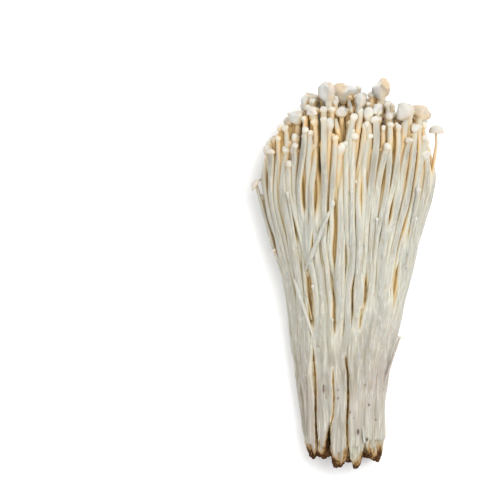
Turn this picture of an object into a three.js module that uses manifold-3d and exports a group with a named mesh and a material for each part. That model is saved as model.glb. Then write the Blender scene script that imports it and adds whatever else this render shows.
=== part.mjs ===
// A bunch of enoki mushrooms, pulled from its growing block and laid on its side.
//
// Eight tufts lie against each other: five in the upper layer and three in the lower one. In each tuft
// the stems have grown together at the foot and come apart further up, and each stem ends in a small cap.
// Each tuft keeps the brown end that was torn from the growing block.
//
// Millimetres. +X is across the bunch, +Y runs from the root ends to the caps and +Z is up. The origin is
// under the middle of the bunch, on the surface that it lies on.
import * as THREE from "three";
import { mergeVertices } from "three/addons/utils/BufferGeometryUtils.js";
import Module from "manifold-3d";

// ---- driving dimensions -------------------------------------------------------------------------------

const FOOT_Y = -72; // the lowest level, where the pale stems turn into the brown root ends
const LEVEL_STEP = 21; // spacing of the levels
// The outline of the bunch at each level, from the foot to above the highest cap.
const LEFT = [-17.6, -19, -22.4, -24.6, -30.0, -34.6, -35.8, -36.5];
const RIGHT = [14.7, 15, 18.8, 24, 29.4, 35.4, 38.8, 41];
const HEIGHT = [21, 22.5, 25, 28.5, 33, 37.5, 41, 43.5];
const LAYER_SHARE = 0.35; // height of the split between the layers at the sides, as a share of the bunch's
const LAYER_ARCH = 0.13; // how much higher the split is in the middle

const STEM_RADIUS = [1.05, 1.35];
const CAP_RATIO = [1.65, 2.6]; // a cap's radius as a multiple of its stem's
const CAP_HEIGHT = [0.75, 1.15]; // and its height as a multiple of its radius
const TALLEST_Y = 81.5; // cap tops in the middle of the bunch
const SIDE_DROP = 24; // how much shorter the mushrooms are at the two sides
const UPPER_DROP = 14; // and on the upper side
const LOWER_DROP = 12; // and on the lower side
const LENGTH_SCATTER = [4, 15]; // how much shorter some are, deep inside and on the outer side

const TUFT_GAP = 0.36; // clear space between neighbouring tufts
const FLAT_DEPTH = 0.25; // how far the lowest stems are pressed flat on the surface
const STEM_SIDES = 6;

// Each tuft: its layer, its share of the bunch's width, from -1 to 1, how many stems show on its outer side
// and how many stand inside it, and its root end: the y that it begins at and its tip's x and y.
const TUFTS = [
  { name: "upper_1", layer: 1, from: -1, to: -0.7, outer: 5, inner: 2, root: [-71.2, -14.7, -78.4] },
  { name: "upper_2", layer: 1, from: -0.7, to: -0.375, outer: 3, inner: 6, root: [-72.4, -9.5, -77.9] },
  { name: "upper_3", layer: 1, from: -0.375, to: 0.09, outer: 5, inner: 10, root: [-74.6, -4.5, -81.5] },
  { name: "upper_4", layer: 1, from: 0.09, to: 0.49, outer: 4, inner: 9, root: [-72.2, 3.3, -81.6] },
  { name: "upper_5", layer: 1, from: 0.49, to: 1, outer: 6, inner: 6, root: [-69.4, 12.3, -79.1] },
  { name: "lower_1", layer: -1, from: -1, to: -0.16, outer: 8, inner: 10, root: [-71.5, -10.4, -77.2] },
  { name: "lower_2", layer: -1, from: -0.16, to: 0.3, outer: 4, inner: 8, root: [-73.5, -0.2, -79.5] },
  { name: "lower_3", layer: -1, from: 0.3, to: 1, outer: 7, inner: 8, root: [-71.8, 9.6, -78.0] },
];

// Mushrooms that stand out from the rest, chosen by hand: where each stands in its tuft (across and depth, as
// in placeAt), the level that it grows from, the x, y and z where its stem meets its cap, its cap's radius
// and how far its cap leans.
const STANDOUTS = [
  { tuft: "upper_1", at: [0, 0.35], level: 2, cap: [-38.6, 37.4, 14.6], radius: 2.6, lean: [-0.5, 0.3] },
  { tuft: "upper_1", at: [0.3, 0.9], level: 0, cap: [-33.5, 52, 22], radius: 2.7, lean: [-0.7, 0.2] },
  { tuft: "upper_1", at: [0.1, 0.6], level: 3, cap: [-30.7, 9.6, 18], radius: 1.3, lean: [-0.6, 0.1] },
  { tuft: "upper_2", at: [0.2, 0.95], level: 0, cap: [-21.6, 66.2, 30], radius: 2.7, lean: [-0.1, 0.4] },
  { tuft: "upper_2", at: [0.75, 0.5], level: 0, cap: [-13.9, 73.6, 25], radius: 2.7, lean: [0.2, 0.1] },
  { tuft: "upper_3", at: [0.5, 0.45], level: 0, cap: [-2.2, 76.6, 27], radius: 3.9, lean: [0.1, 0.2] },
  { tuft: "upper_3", at: [0.2, 1], level: 1, cap: [-8.5, 63, 38], radius: 2.6, lean: [-0.2, 0.5] },
  { tuft: "upper_3", at: [0.62, 1], level: 1, cap: [-2.9, 68, 35], radius: 2.4, lean: [0, 0.5] },
  { tuft: "upper_3", at: [0.3, 1], level: 3, cap: [-6.9, 30, 36], radius: 1.5, lean: [0, 0.6] },
  { tuft: "upper_4", at: [0.5, 0.5], level: 0, cap: [13.9, 78.1, 28], radius: 3.8, lean: [0.1, 0.1] },
  { tuft: "upper_5", at: [0.15, 0.9], level: 0, cap: [22.1, 65, 32], radius: 4.0, lean: [0.4, 0.5] },
  { tuft: "upper_5", at: [1, 0.45], level: 0, cap: [36.8, 60, 21], radius: 3.0, lean: [0.2, 0.1] },
  { tuft: "upper_5", at: [1, 0.6], level: 1, cap: [21.6, -26.8, 17.5], radius: 1.2, lean: [0.6, 0.3] },
];

// ---- small helpers ------------------------------------------------------------------------------------

const LEVELS = LEFT.length;
const FAR = 1000; // further than anything in the bunch
const mix = (a, b, t) => a + (b - a) * t;
const clamp = (x, low, high) => Math.min(Math.max(x, low), high);
const levelY = (tuft, k) => (k === 0 ? tuft.root[0] : FOOT_Y + k * LEVEL_STEP);
const levelAt = (y) => (y - FOOT_Y) / LEVEL_STEP;

// Seeded draws, evenly spread from 0 to 1.
function drawsFrom(seed) {
  const MULTIPLIER = 16807;
  const MODULUS = 2147483647;
  let state = (seed * 7919 + 104729) % MODULUS;
  return () => {
    state = (state * MULTIPLIER) % MODULUS;
    return state / MODULUS;
  };
}

// ---- the bunch's section ------------------------------------------------------------------------------

const splitZ = (k, u) => HEIGHT[k] * (LAYER_SHARE + LAYER_ARCH * (1 - u * u));

// The point of the section at level k for disc coordinates u and v, kept a distance inside the outline.
// The lower half is flattened, because the bunch lies on it.
function sectionPoint(k, u, v, inset) {
  const x = mix(LEFT[k] + inset, RIGHT[k] - inset, (u + 1) / 2);
  const middle = splitZ(k, u);
  if (v >= 0) return [x, middle + (HEIGHT[k] - inset - middle) * v];
  const chord = Math.max(Math.sqrt(1 - u * u), 0.2);
  const flattened = Math.pow(1 - Math.pow(u, 4), 0.25);
  const lowest = Math.max(inset - FLAT_DEPTH, 0);
  return [x, middle + (middle - lowest) * (v / chord) * flattened];
}

// The borders between tufts wander a little from level to level.
function borderAt(k, u) {
  if (Math.abs(u) === 1) return u;
  const WANDER = 0.035;
  return u + WANDER * Math.sin(1.9 * k + 7 * u) * Math.min(k / 2, 1);
}

// The lowest and highest x that a tuft has room for at a whole level, for something of the given radius.
function widthAtLevel(tuft, k, radius) {
  const clear = radius + TUFT_GAP / 2;
  const borderX = (u) => sectionPoint(k, borderAt(k, u), 0, 0)[0];
  const left = tuft.from === -1 ? -FAR : borderX(tuft.from) + clear;
  const right = tuft.to === 1 ? FAR : borderX(tuft.to) - clear;
  return [left, right];
}

// And the lowest and highest z, at the given place across the bunch.
function heightAtLevel(tuft, k, u, radius) {
  const clear = radius + TUFT_GAP / 2;
  return tuft.layer > 0 ? [splitZ(k, u) + clear, FAR] : [radius - FLAT_DEPTH, splitZ(k, u) - clear];
}

// A list of numbers that is known at whole levels, between two levels.
function betweenLevels(listAt, level) {
  const k = clamp(Math.floor(level), 0, LEVELS - 2);
  const above = listAt(k + 1);
  return listAt(k).map((value, i) => mix(value, above[i], level - k));
}

const within = (value, [low, high]) => (low > high ? (low + high) / 2 : clamp(value, low, high));

// An x and z, moved into a tuft's room where they are outside it.
function keptInRoom([x, z], tuft, level, radius) {
  const keptX = within(x, betweenLevels((k) => widthAtLevel(tuft, k, radius), level));
  const [left, right] = betweenLevels((k) => [LEFT[k], RIGHT[k]], level);
  const u = clamp(mix(-1, 1, (keptX - left) / (right - left)), -1, 1);
  return [keptX, within(z, betweenLevels((k) => heightAtLevel(tuft, k, u, radius), level))];
}

// A place in a tuft: across is 0 to 1 between its borders, depth is 1 on the outer side and 0 at the split
// between the layers.
function placeAt(tuft, k, across, depth, inset) {
  const u = mix(borderAt(k, tuft.from), borderAt(k, tuft.to), across);
  return sectionPoint(k, u, tuft.layer * depth * Math.sqrt(1 - u * u), inset);
}

// ---- where the mushrooms stand ------------------------------------------------------------------------

// A mushroom of the rule: stems are shorter towards the sides and the outer side of the bunch.
function mushroomOf(tuft, across, depth, level, draw) {
  const radius = mix(...STEM_RADIUS, draw());
  const u = mix(tuft.from, tuft.to, across);
  const out = depth * Math.sqrt(1 - u * u);
  const drop = tuft.layer > 0 ? UPPER_DROP : LOWER_DROP;
  const dome = TALLEST_Y - SIDE_DROP * Math.pow(Math.abs(u), 2.2) - drop * out * out;
  const topY = dome - mix(...LENGTH_SCATTER, out) * draw();
  const capRadius = radius * mix(...CAP_RATIO, draw() * draw());
  const capHeight = capRadius * mix(...CAP_HEIGHT, draw());
  const lean = [mix(-0.35, 0.35, draw()), mix(-0.35, 0.35, draw())];
  const bend = [mix(-2.2, 2.2, draw()), mix(-1.6, 1.6, draw()), 6.3 * draw()];
  return { tuft, across, depth, level, radius, capRadius, capHeight, lean, bend, tipY: topY - capHeight };
}

// The mushrooms that stand out keep their caps where they are.
function standoutOf(tuft, mark, draw) {
  const radius = clamp(mark.radius / 2, 0.6, 1.5);
  const bend = [mix(-1, 1, draw()), 0, 6.3 * draw()];
  const [x, tipY, z] = mark.cap;
  const fixed = keptInRoom([x, z], tuft, levelAt(tipY), mark.radius);
  const [across, depth] = mark.at;
  const { level, lean } = mark;
  const [capRadius, capHeight] = [mark.radius, mark.radius * 0.9];
  return { tuft, across, depth, level, radius, capRadius, capHeight, lean, bend, tipY, fixed };
}

// Places spaced evenly along a tuft's outer side, each moved a little by a draw. Half a space is left to a
// neighbour in the same layer, and less to the other layer.
function rowAlong(tuft, count, draw) {
  const SAMPLES = 150;
  const LEVEL = 3;
  const SHIFT = 0.15;
  const TO_NEIGHBOUR = 0.5;
  const TO_OTHER_LAYER = 0.1;
  const first = tuft.from === -1 ? TO_OTHER_LAYER : TO_NEIGHBOUR;
  const final = count - (tuft.to === 1 ? TO_OTHER_LAYER : TO_NEIGHBOUR);
  const [a, b] = [Math.acos(-tuft.from), Math.acos(-tuft.to)];
  const places = [];
  let length = 0;
  let last = null;
  for (let n = 0; n <= SAMPLES; n++) {
    const across = (-Math.cos(mix(a, b, n / SAMPLES)) - tuft.from) / (tuft.to - tuft.from);
    const point = placeAt(tuft, LEVEL, across, 1, STEM_RADIUS[0]);
    if (last) length += Math.hypot(point[0] - last[0], point[1] - last[1]);
    places.push({ across, length });
    last = point;
  }
  return Array.from({ length: count }, (_, n) => {
    const wanted = (length * (mix(first, final, n / (count - 1)) + mix(-SHIFT, SHIFT, draw()))) / count;
    return places.find((place) => place.length >= wanted).across;
  });
}

// The stems on a tuft's outer side stand in an even row. The ones inside come out of the tuft's core, spread
// by taking, for each, the candidate that is furthest from the stems already placed.
function mushroomsOf(tuft, seed) {
  const draw = drawsFrom(seed);
  const marks = STANDOUTS.filter((mark) => mark.tuft === tuft.name);
  const found = marks.map((mark) => standoutOf(tuft, mark, draw));
  for (const across of rowAlong(tuft, tuft.outer, draw)) found.push(mushroomOf(tuft, across, 1, 0, draw));
  const CANDIDATES = 12;
  const SPREAD_LEVEL = 4;
  const CORE_EXIT = 3; // the level that the inner stems grow from
  const spotOf = (m) => placeAt(tuft, SPREAD_LEVEL, m.across, m.depth, STEM_RADIUS[1]);
  for (let n = 0; n < tuft.inner; n++) {
    let best = { nearest: -1 };
    for (let c = 0; c < CANDIDATES; c++) {
      const spot = { across: draw(), depth: mix(0.05, 0.85, draw()) };
      const [x, z] = spotOf(spot);
      const nearest = Math.min(...found.map(spotOf).map(([fx, fz]) => Math.hypot(x - fx, z - fz)));
      if (nearest > best.nearest) best = { ...spot, nearest };
    }
    found.push(mushroomOf(tuft, best.across, best.depth, CORE_EXIT, draw));
  }
  return found;
}

// The x and z of a mushroom's stem at each level: its place in the outline, with a slow bend of its own. The
// bend starts above the grown-together foot.
function firstPath(m) {
  return LEFT.map((_, k) => {
    const [x, z] = placeAt(m.tuft, k, m.across, m.depth, m.radius);
    const swing = clamp((k - 1) / 5, 0, 1) * Math.sin(0.9 * k + m.bend[2]);
    return [x + m.bend[0] * swing, z + m.bend[1] * swing];
  });
}

const pointOn = (m, level) => betweenLevels((k) => m.path[k], level);

// Two points that are closer than the least distance are each moved half of what is missing.
function pushedApart(a, b, least) {
  const [dx, dz] = [b[0] - a[0], b[1] - a[1]];
  const apart = Math.max(Math.sqrt(dx * dx + dz * dz), 0.01);
  const push = apart < least ? (0.5 * (least - apart)) / apart : 0;
  return [
    [a[0] - dx * push, a[1] - dz * push],
    [b[0] + dx * push, b[1] + dz * push],
  ];
}

// Stems of one tuft push each other apart until they only touch. At the foot they have grown together, so
// there they may overlap. Caps push other caps and the stems beside them. Then each mushroom keeps in its own
// tuft's room, so that no two tufts meet.
function settle(mushrooms) {
  const ROUNDS = 30;
  const STIFFNESS = 0.2;
  const CAP_CLEAR = 0.85;
  const crowd = (k) => mix(0.62, 1.02, clamp(k / 4, 0, 1));
  for (const m of mushrooms) {
    m.drawn = firstPath(m);
    m.path = [...m.drawn];
    m.top = levelAt(m.tipY);
    m.tip = m.fixed ?? pointOn(m, m.top);
  }
  const pairs = mushrooms.flatMap((a, i) => mushrooms.slice(i + 1).map((b) => [a, b]));
  for (let round = 0; round < ROUNDS; round++) {
    for (const [a, b] of pairs) {
      const [from, to] = [Math.max(a.level, b.level), Math.min(a.top, b.top) + 0.5];
      for (let k = from; k <= to && k < LEVELS; k++)
        [a.path[k], b.path[k]] = pushedApart(a.path[k], b.path[k], crowd(k) * (a.radius + b.radius));
      const reach = CAP_CLEAR * (a.capRadius + b.capRadius);
      const offset = Math.min(Math.abs(a.tipY - b.tipY) / (a.capRadius + b.capRadius), 1);
      [a.tip, b.tip] = pushedApart(a.tip, b.tip, reach * Math.sqrt(1 - offset * offset));
      for (const [cap, stem] of [[a, b], [b, a]]) {
        if (stem.top <= cap.top || stem.level >= cap.top) continue;
        const least = CAP_CLEAR * (cap.capRadius + stem.radius);
        cap.tip = pushedApart(cap.tip, pointOn(stem, cap.top), least)[0];
      }
    }
    for (const m of mushrooms) {
      const moved = m.path.map((point, k) => point.map((v, i) => v - m.drawn[k][i]));
      for (let k = 1; k < LEVELS - 1; k++)
        m.path[k] = m.path[k].map((v, i) =>
          mix(v, m.drawn[k][i] + (moved[k - 1][i] + moved[k + 1][i]) / 2, STIFFNESS),
        );
      const last = clamp(Math.round(m.top), 1, LEVELS - 1);
      m.path[last] = m.path[last].map((v, i) => mix(v, m.tip[i], 0.5));
      m.path = m.path.map((point, k) => keptInRoom(point, m.tuft, k, m.radius));
      m.tip = keptInRoom(m.fixed ?? m.tip, m.tuft, m.top, m.capRadius * 1.05);
    }
  }
}

// ---- solids -------------------------------------------------------------------------------------------

const wasm = await Module();
wasm.setup();

function solidFrom(geometry) {
  const bare = geometry.clone();
  bare.deleteAttribute("normal");
  bare.deleteAttribute("uv");
  const merged = mergeVertices(bare, 1e-4);
  const mesh = new wasm.Mesh({
    numProp: 3,
    vertProperties: new Float32Array(merged.attributes.position.array),
    triVerts: new Uint32Array(merged.index.array),
  });
  return new wasm.Manifold(mesh);
}

function geometryFrom(solid) {
  const mesh = solid.getMesh();
  const geometry = new THREE.BufferGeometry();
  geometry.setAttribute("position", new THREE.BufferAttribute(mesh.vertProperties, 3));
  geometry.setIndex(new THREE.BufferAttribute(mesh.triVerts, 1));
  const flat = geometry.toNonIndexed();
  flat.computeVertexNormals();
  return flat;
}

// A closed skin over rings that all have the same number of points, closed at each end by a fan round the
// given middle points.
function loft(rings, start, end) {
  const sides = rings[0].length;
  const points = [...rings.flat(), start, end];
  const faces = [];
  for (let r = 0; r + 1 < rings.length; r++)
    for (let s = 0; s < sides; s++) {
      const [a, b] = [r * sides + s, r * sides + ((s + 1) % sides)];
      faces.push(a, b, b + sides, a, b + sides, a + sides);
    }
  const lastRing = (rings.length - 1) * sides;
  for (let s = 0; s < sides; s++) {
    const next = (s + 1) % sides;
    faces.push(points.length - 2, next, s, points.length - 1, lastRing + s, lastRing + next);
  }
  const geometry = new THREE.BufferGeometry().setFromPoints(points);
  geometry.setIndex(faces);
  return geometry;
}

const middleOf = (ring) =>
  ring.reduce((sum, point) => sum.add(point), new THREE.Vector3()).divideScalar(ring.length);

// A ring of points round an axis, which runs from the foot towards the caps. Two of its sides are level.
function ringRound(centre, axis, radius, sides) {
  const side = new THREE.Vector3().crossVectors(axis, new THREE.Vector3(0, 0, 1)).normalize();
  const up = new THREE.Vector3().crossVectors(side, axis).normalize();
  return Array.from({ length: sides }, (_, s) => {
    const angle = (s / sides) * 2 * Math.PI;
    return centre
      .clone()
      .addScaledVector(side, -radius * Math.cos(angle))
      .addScaledVector(up, radius * Math.sin(angle));
  });
}

// A stem that doesn't reach the foot starts inside its tuft's core.
function sunkInCore(m, k) {
  const SUNK = 0.55;
  const middle = middleOfSection(tuftSection(m.tuft, k, 0));
  return m.path[k].map((v, i) => mix(v, middle[i], SUNK));
}

// The cap's profile from its edge to its crown: radius and height, as shares of the cap's own.
const CAP_PROFILE = [
  [1, 0.12],
  [0.7, 0.76],
];

// One mushroom: a stem that follows its path and widens into its cap.
function mushroomSolid(m) {
  const stops = [];
  for (let k = m.level; k < m.top - 0.25; k++) {
    const [x, z] = k === m.level && k > 0 ? sunkInCore(m, k) : m.path[k];
    stops.push(new THREE.Vector3(x, levelY(m.tuft, k), z));
  }
  stops.push(new THREE.Vector3(m.tip[0], m.tipY, m.tip[1]));
  const along = (from, to) => new THREE.Vector3().subVectors(stops[to], stops[from]).normalize();
  const last = stops.length - 1;
  const rings = stops.map((p, n) =>
    ringRound(p, along(Math.max(n - 1, 0), Math.min(n + 1, last)), m.radius, STEM_SIDES),
  );
  const axis = along(last - 1, last).add(new THREE.Vector3(m.lean[0], 0, m.lean[1])).normalize();
  const up = (height) => stops[last].clone().addScaledVector(axis, height * m.capHeight);
  for (const [r, h] of CAP_PROFILE) rings.push(ringRound(up(h), axis, r * m.capRadius, STEM_SIDES));
  return solidFrom(loft(rings, middleOf(rings[0]), up(1)));
}

// A tuft's section at a level: along its outer side, and back along the split between the layers.
const ARC_POINTS = 7;

function tuftSection(tuft, k, inset) {
  const [a, b] = [Math.acos(-tuft.from), Math.acos(-tuft.to)];
  const points = [];
  for (let n = 0; n < ARC_POINTS; n++) {
    const u = -Math.cos(mix(a, b, n / (ARC_POINTS - 1)));
    points.push(placeAt(tuft, k, (u - tuft.from) / (tuft.to - tuft.from), 1, inset));
  }
  if (tuft.to < 1) points.push(placeAt(tuft, k, 1, 0, inset));
  if (tuft.from > -1) points.push(placeAt(tuft, k, 0, 0, inset));
  return points.map((point) => keptInRoom(point, tuft, k, 0));
}

const middleOfSection = (points) =>
  [0, 1].map((i) => points.reduce((sum, point) => sum + point[i], 0) / points.length);

// The grown-together middle of a tuft, which its stems stand out of. It narrows upwards and ends among them.
const CORE_SHARE = [0.9, 0.88, 0.82, 0.66, 0.42, 0.12];

function coreSolid(tuft) {
  const rings = CORE_SHARE.map((share, k) => {
    const section = tuftSection(tuft, k, 0);
    const [mx, mz] = middleOfSection(section);
    return section.map(([x, z]) => new THREE.Vector3(mix(mx, x, share), levelY(tuft, k), mix(mz, z, share)));
  });
  if (tuft.layer < 0) rings.forEach((ring) => ring.reverse());
  return solidFrom(loft(rings, middleOf(rings[0]), middleOf(rings.at(-1))));
}

// The brown end of a tuft, a lumpy plug. Its profile from the tip to the stems: how far along it is, and how
// wide as a share of the tuft.
const ROOT_PROFILE = [
  [1, 0.3],
  [0.82, 0.62],
  [0.55, 0.86],
  [0.25, 1],
  [0, 0.94],
];
const ROOT_LUMPS = [-0.16, 0.06];

function rootSolid(tuft, seed) {
  const draw = drawsFrom(seed);
  const [rootY, tipX, tipY] = tuft.root;
  const section = tuftSection(tuft, 0, 0.3);
  const [mx, mz] = middleOfSection(section);
  const rings = ROOT_PROFILE.map(([along, share]) =>
    section.map(([x, z]) => {
      const wide = share * (1 + (along > 0 ? mix(...ROOT_LUMPS, draw()) : 0));
      const towardsTip = (tipX - mx) * along * along;
      const [px, pz] = keptInRoom([mix(mx, x, wide) + towardsTip, mix(mz, z, wide)], tuft, 0, 0);
      return new THREE.Vector3(px, mix(rootY - TUFT_GAP, tipY, along), pz);
    }),
  );
  if (tuft.layer < 0) rings.forEach((ring) => ring.reverse());
  return solidFrom(loft(rings, middleOf(rings[0]), middleOf(rings.at(-1))));
}

const underTheSurface = solidFrom(new THREE.BoxGeometry(400, 400, 20).translate(0, 0, -10));

// The biggest body of a solid that lies above the surface, without hollows that its stems enclose.
function wholeBody(solid) {
  return solid
    .subtract(underTheSurface)
    .decompose()
    .reduce((best, body) => (body.volume() > best.volume() ? body : best));
}

// ---- the bunch ----------------------------------------------------------------------------------------

const FLESH = new THREE.MeshStandardMaterial({ color: 0xeee6cf, roughness: 0.55, metalness: 0 });
const ROOT = new THREE.MeshStandardMaterial({ color: 0x8a6238, roughness: 0.9, metalness: 0 });
const ROOT_SEEDS = 50;

const bunch = new THREE.Group();

function addPiece(name, solid, material) {
  const piece = new THREE.Mesh(geometryFrom(wholeBody(solid)), material);
  piece.name = name;
  bunch.add(piece);
}

TUFTS.forEach((tuft, n) => {
  const mushrooms = mushroomsOf(tuft, n + 1);
  settle(mushrooms);
  const joined = wasm.Manifold.union([coreSolid(tuft), ...mushrooms.map(mushroomSolid)]);
  addPiece(`tuft_${tuft.name}`, joined, FLESH);
  addPiece(`root_end_${tuft.name}`, rootSolid(tuft, n + ROOT_SEEDS), ROOT);
});

export default bunch;
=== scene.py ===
# An enoki mushroom bunch that lies on its side, seen from straight above.
#
# The rule that grows the mushrooms is the same as in the part's source, so every stem stands where its
# solid stands. Each tuft and each root end is replaced by finer pieces of the same form: round stems with
# caps, thinner stems between them, a lower half that has grown together, and torn brown ends.
#
# Lengths are in millimetres up to the last step, which turns them into metres.
import math
from itertools import product
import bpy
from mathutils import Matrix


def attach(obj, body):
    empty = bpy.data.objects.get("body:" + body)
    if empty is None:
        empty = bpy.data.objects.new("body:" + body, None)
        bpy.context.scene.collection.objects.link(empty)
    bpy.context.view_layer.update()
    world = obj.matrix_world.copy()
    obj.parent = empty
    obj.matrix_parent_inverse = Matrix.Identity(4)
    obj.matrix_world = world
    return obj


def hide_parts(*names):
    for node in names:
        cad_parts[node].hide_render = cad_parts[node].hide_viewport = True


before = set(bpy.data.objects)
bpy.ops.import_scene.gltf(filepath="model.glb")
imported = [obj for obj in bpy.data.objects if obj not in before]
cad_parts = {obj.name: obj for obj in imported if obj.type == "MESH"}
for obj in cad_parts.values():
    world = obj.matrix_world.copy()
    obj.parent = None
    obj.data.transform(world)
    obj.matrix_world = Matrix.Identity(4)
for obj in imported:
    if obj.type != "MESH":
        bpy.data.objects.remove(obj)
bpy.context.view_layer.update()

from types import SimpleNamespace

import bpy
import numpy as np
from mathutils import Vector, kdtree, noise

# ---- the bunch, as in the part's source ----

FOOT_Y = -72
LEVEL_STEP = 21
LEFT = [-17.6, -19, -22.4, -24.6, -30.0, -34.6, -35.8, -36.5]
RIGHT = [14.7, 15, 18.8, 24, 29.4, 35.4, 38.8, 41]
HEIGHT = [21, 22.5, 25, 28.5, 33, 37.5, 41, 43.5]
LAYER_SHARE = 0.35
LAYER_ARCH = 0.13

STEM_RADIUS = (1.05, 1.35)
CAP_RATIO = (1.65, 2.6)
CAP_HEIGHT = (0.75, 1.15)
TALLEST_Y = 81.5
SIDE_DROP = 24
SIDE_ROUND = 2.2  # the power by which the crown falls towards the sides
UPPER_DROP = 14
LOWER_DROP = 12
LENGTH_SCATTER = (4, 15)
TUFT_GAP = 0.36
FLAT_DEPTH = 0.25
ROUNDS = 30  # of pushing stems apart

# Each tuft: name, layer, its share of the width, stems on its outer side and inside it, and its root end.
TUFTS = [
    ("upper_1", 1, -1, -0.7, 5, 2, (-71.2, -14.7, -78.4)),
    ("upper_2", 1, -0.7, -0.375, 3, 6, (-72.4, -9.5, -77.9)),
    ("upper_3", 1, -0.375, 0.09, 5, 10, (-74.6, -4.5, -81.5)),
    ("upper_4", 1, 0.09, 0.49, 4, 9, (-72.2, 3.3, -81.6)),
    ("upper_5", 1, 0.49, 1, 6, 6, (-69.4, 12.3, -79.1)),
    ("lower_1", -1, -1, -0.16, 8, 10, (-71.5, -10.4, -77.2)),
    ("lower_2", -1, -0.16, 0.3, 4, 8, (-73.5, -0.2, -79.5)),
    ("lower_3", -1, 0.3, 1, 7, 8, (-71.8, 9.6, -78.0)),
]

# Mushrooms that stand out, in the solids too: tuft, place in it, level, cap, radius and lean. The last
# numbers are only for the finer pieces: the cap's radius and height, how far it has opened, how lumpy it is,
# its stem's thickness as a share of the solid's, how tan the cap is, on which side (-1 left, 1 right, 0 all
# round), and how it leans to the right and up.
STANDOUTS = [
    ("upper_1", (0, 0.35), 2, (-38.6, 37.4, 14.6), 2.6, (-0.5, 0.3),
     (2.7, 2.3, 1, 0.1, 0.6, 0.55, 0, -1.2, 0.1)),
    ("upper_1", (0.3, 0.9), 0, (-33.5, 52, 22), 2.7, (-0.7, 0.2),
     (2.5, 3.4, 0.9, 0.15, 1, 0.35, 0, -0.35, 0.1)),
    ("upper_1", (0.1, 0.6), 3, (-30.7, 9.6, 18), 1.3, (-0.6, 0.1),
     (0.9, 1.4, 0.4, 0.1, 0.6, 0.6, 0, -0.3, 0.05)),
    ("upper_2", (0.2, 0.95), 0, (-21.6, 66.2, 30), 2.7, (-0.1, 0.4),
     (2.9, 5.8, 1.35, 0.45, 1, 0.3, 1, -0.25, 0.3)),
    ("upper_2", (0.75, 0.5), 0, (-13.9, 73.6, 25), 2.7, (0.2, 0.1),
     (2.6, 7.8, 1.35, 0.5, 1, 0.5, 1, -0.1, 0.35)),
    ("upper_3", (0.5, 0.45), 0, (-2.2, 76.6, 27), 3.9, (0.1, 0.2),
     (4.2, 8.4, 1.5, 0.6, 1, 1.0, -1, 0.1, 0.55)),
    ("upper_3", (0.2, 1), 1, (-8.5, 63, 38), 2.6, (-0.2, 0.5),
     (2.2, 5.6, 0.2, 0.2, 1.1, 0, 0, -0.1, 0.25)),
    ("upper_3", (0.62, 1), 1, (-2.9, 68, 35), 2.4, (0, 0.5),
     (2.5, 4.4, 0.55, 0.15, 1, 0, 0, 0, 0.25)),
    ("upper_3", (0.3, 1), 3, (-6.9, 30, 36), 1.5, (0, 0.6),
     (1.15, 4.0, 0.1, 0.15, 0.9, 0, 0, 0, 0.3)),
    ("upper_4", (0.5, 0.5), 0, (13.9, 78.1, 28), 3.8, (0.1, 0.1),
     (3.2, 7.8, 1.5, 0.5, 1.1, 1.0, 1, 0, 0.6)),
    ("upper_5", (0.15, 0.9), 0, (22.1, 65, 32), 4.0, (0.4, 0.5),
     (2.0, 4.0, 0.3, 0.3, 1.0, 0.3, 0, 0, 0.1)),
    ("upper_5", (1, 0.45), 0, (36.8, 60, 21), 3.0, (0.2, 0.1),
     (2.9, 3.4, 1, 0.1, 0.45, 0.2, 0, 0.1, 0.05)),
    ("upper_5", (1, 0.6), 1, (21.6, -26.8, 17.5), 1.2, (0.6, 0.3),
     (0.9, 1.4, 0.4, 0.1, 0.85, 0.15, 0, 0.3, 0.15)),
]

TUFT_PARTS = ("name", "layer", "start", "end", "outer", "inner", "root")
LEVELS = len(LEFT)
FAR = 1000
MM = 0.001  # in metres
TURN = 6.3  # about a whole turn, in radians


def mix(a, b, t):
    return a + (b - a) * t


def clamp(x, low, high):
    return min(max(x, low), high)


def level_at(y):
    return (y - FOOT_Y) / LEVEL_STEP


def level_y(tuft, k):
    return tuft.root[0] if k == 0 else FOOT_Y + k * LEVEL_STEP


def draws_from(seed):
    """Seeded draws, evenly spread from 0 to 1."""
    state = (seed * 7919 + 104729) % 2147483647

    def draw():
        nonlocal state
        state = state * 16807 % 2147483647
        return state / 2147483647

    return draw


def tuft_of(row):
    return SimpleNamespace(**dict(zip(TUFT_PARTS, row)))


# ---- the bunch's section ----


def split_z(k, u):
    return HEIGHT[k] * (LAYER_SHARE + LAYER_ARCH * (1 - u * u))


def section_point(k, u, v, inset):
    x = mix(LEFT[k] + inset, RIGHT[k] - inset, (u + 1) / 2)
    middle = split_z(k, u)
    if v >= 0:
        return [x, middle + (HEIGHT[k] - inset - middle) * v]
    chord = max(math.sqrt(max(1 - u * u, 0)), 0.2)
    flattened = max(1 - u**4, 0) ** 0.25
    lowest = max(inset - FLAT_DEPTH, 0)
    return [x, middle + (middle - lowest) * (v / chord) * flattened]


def border_at(k, u):
    """The borders between tufts wander a little from level to level."""
    if abs(u) == 1:
        return u
    return u + 0.035 * math.sin(1.9 * k + 7 * u) * min(k / 2, 1)


def width_at_level(tuft, k, radius):
    clear = radius + TUFT_GAP / 2
    left = -FAR
    right = FAR
    if tuft.start != -1:
        left = section_point(k, border_at(k, tuft.start), 0, 0)[0] + clear
    if tuft.end != 1:
        right = section_point(k, border_at(k, tuft.end), 0, 0)[0] - clear
    return [left, right]


def height_at_level(tuft, k, u, radius):
    clear = radius + TUFT_GAP / 2
    if tuft.layer > 0:
        return [split_z(k, u) + clear, FAR]
    return [radius - FLAT_DEPTH, split_z(k, u) - clear]


def between_levels(list_at, level):
    k = int(clamp(math.floor(level), 0, LEVELS - 2))
    below = list_at(k)
    above = list_at(k + 1)
    return [mix(a, b, level - k) for a, b in zip(below, above)]


def within(value, room):
    low, high = room
    return (low + high) / 2 if low > high else clamp(value, low, high)


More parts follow.
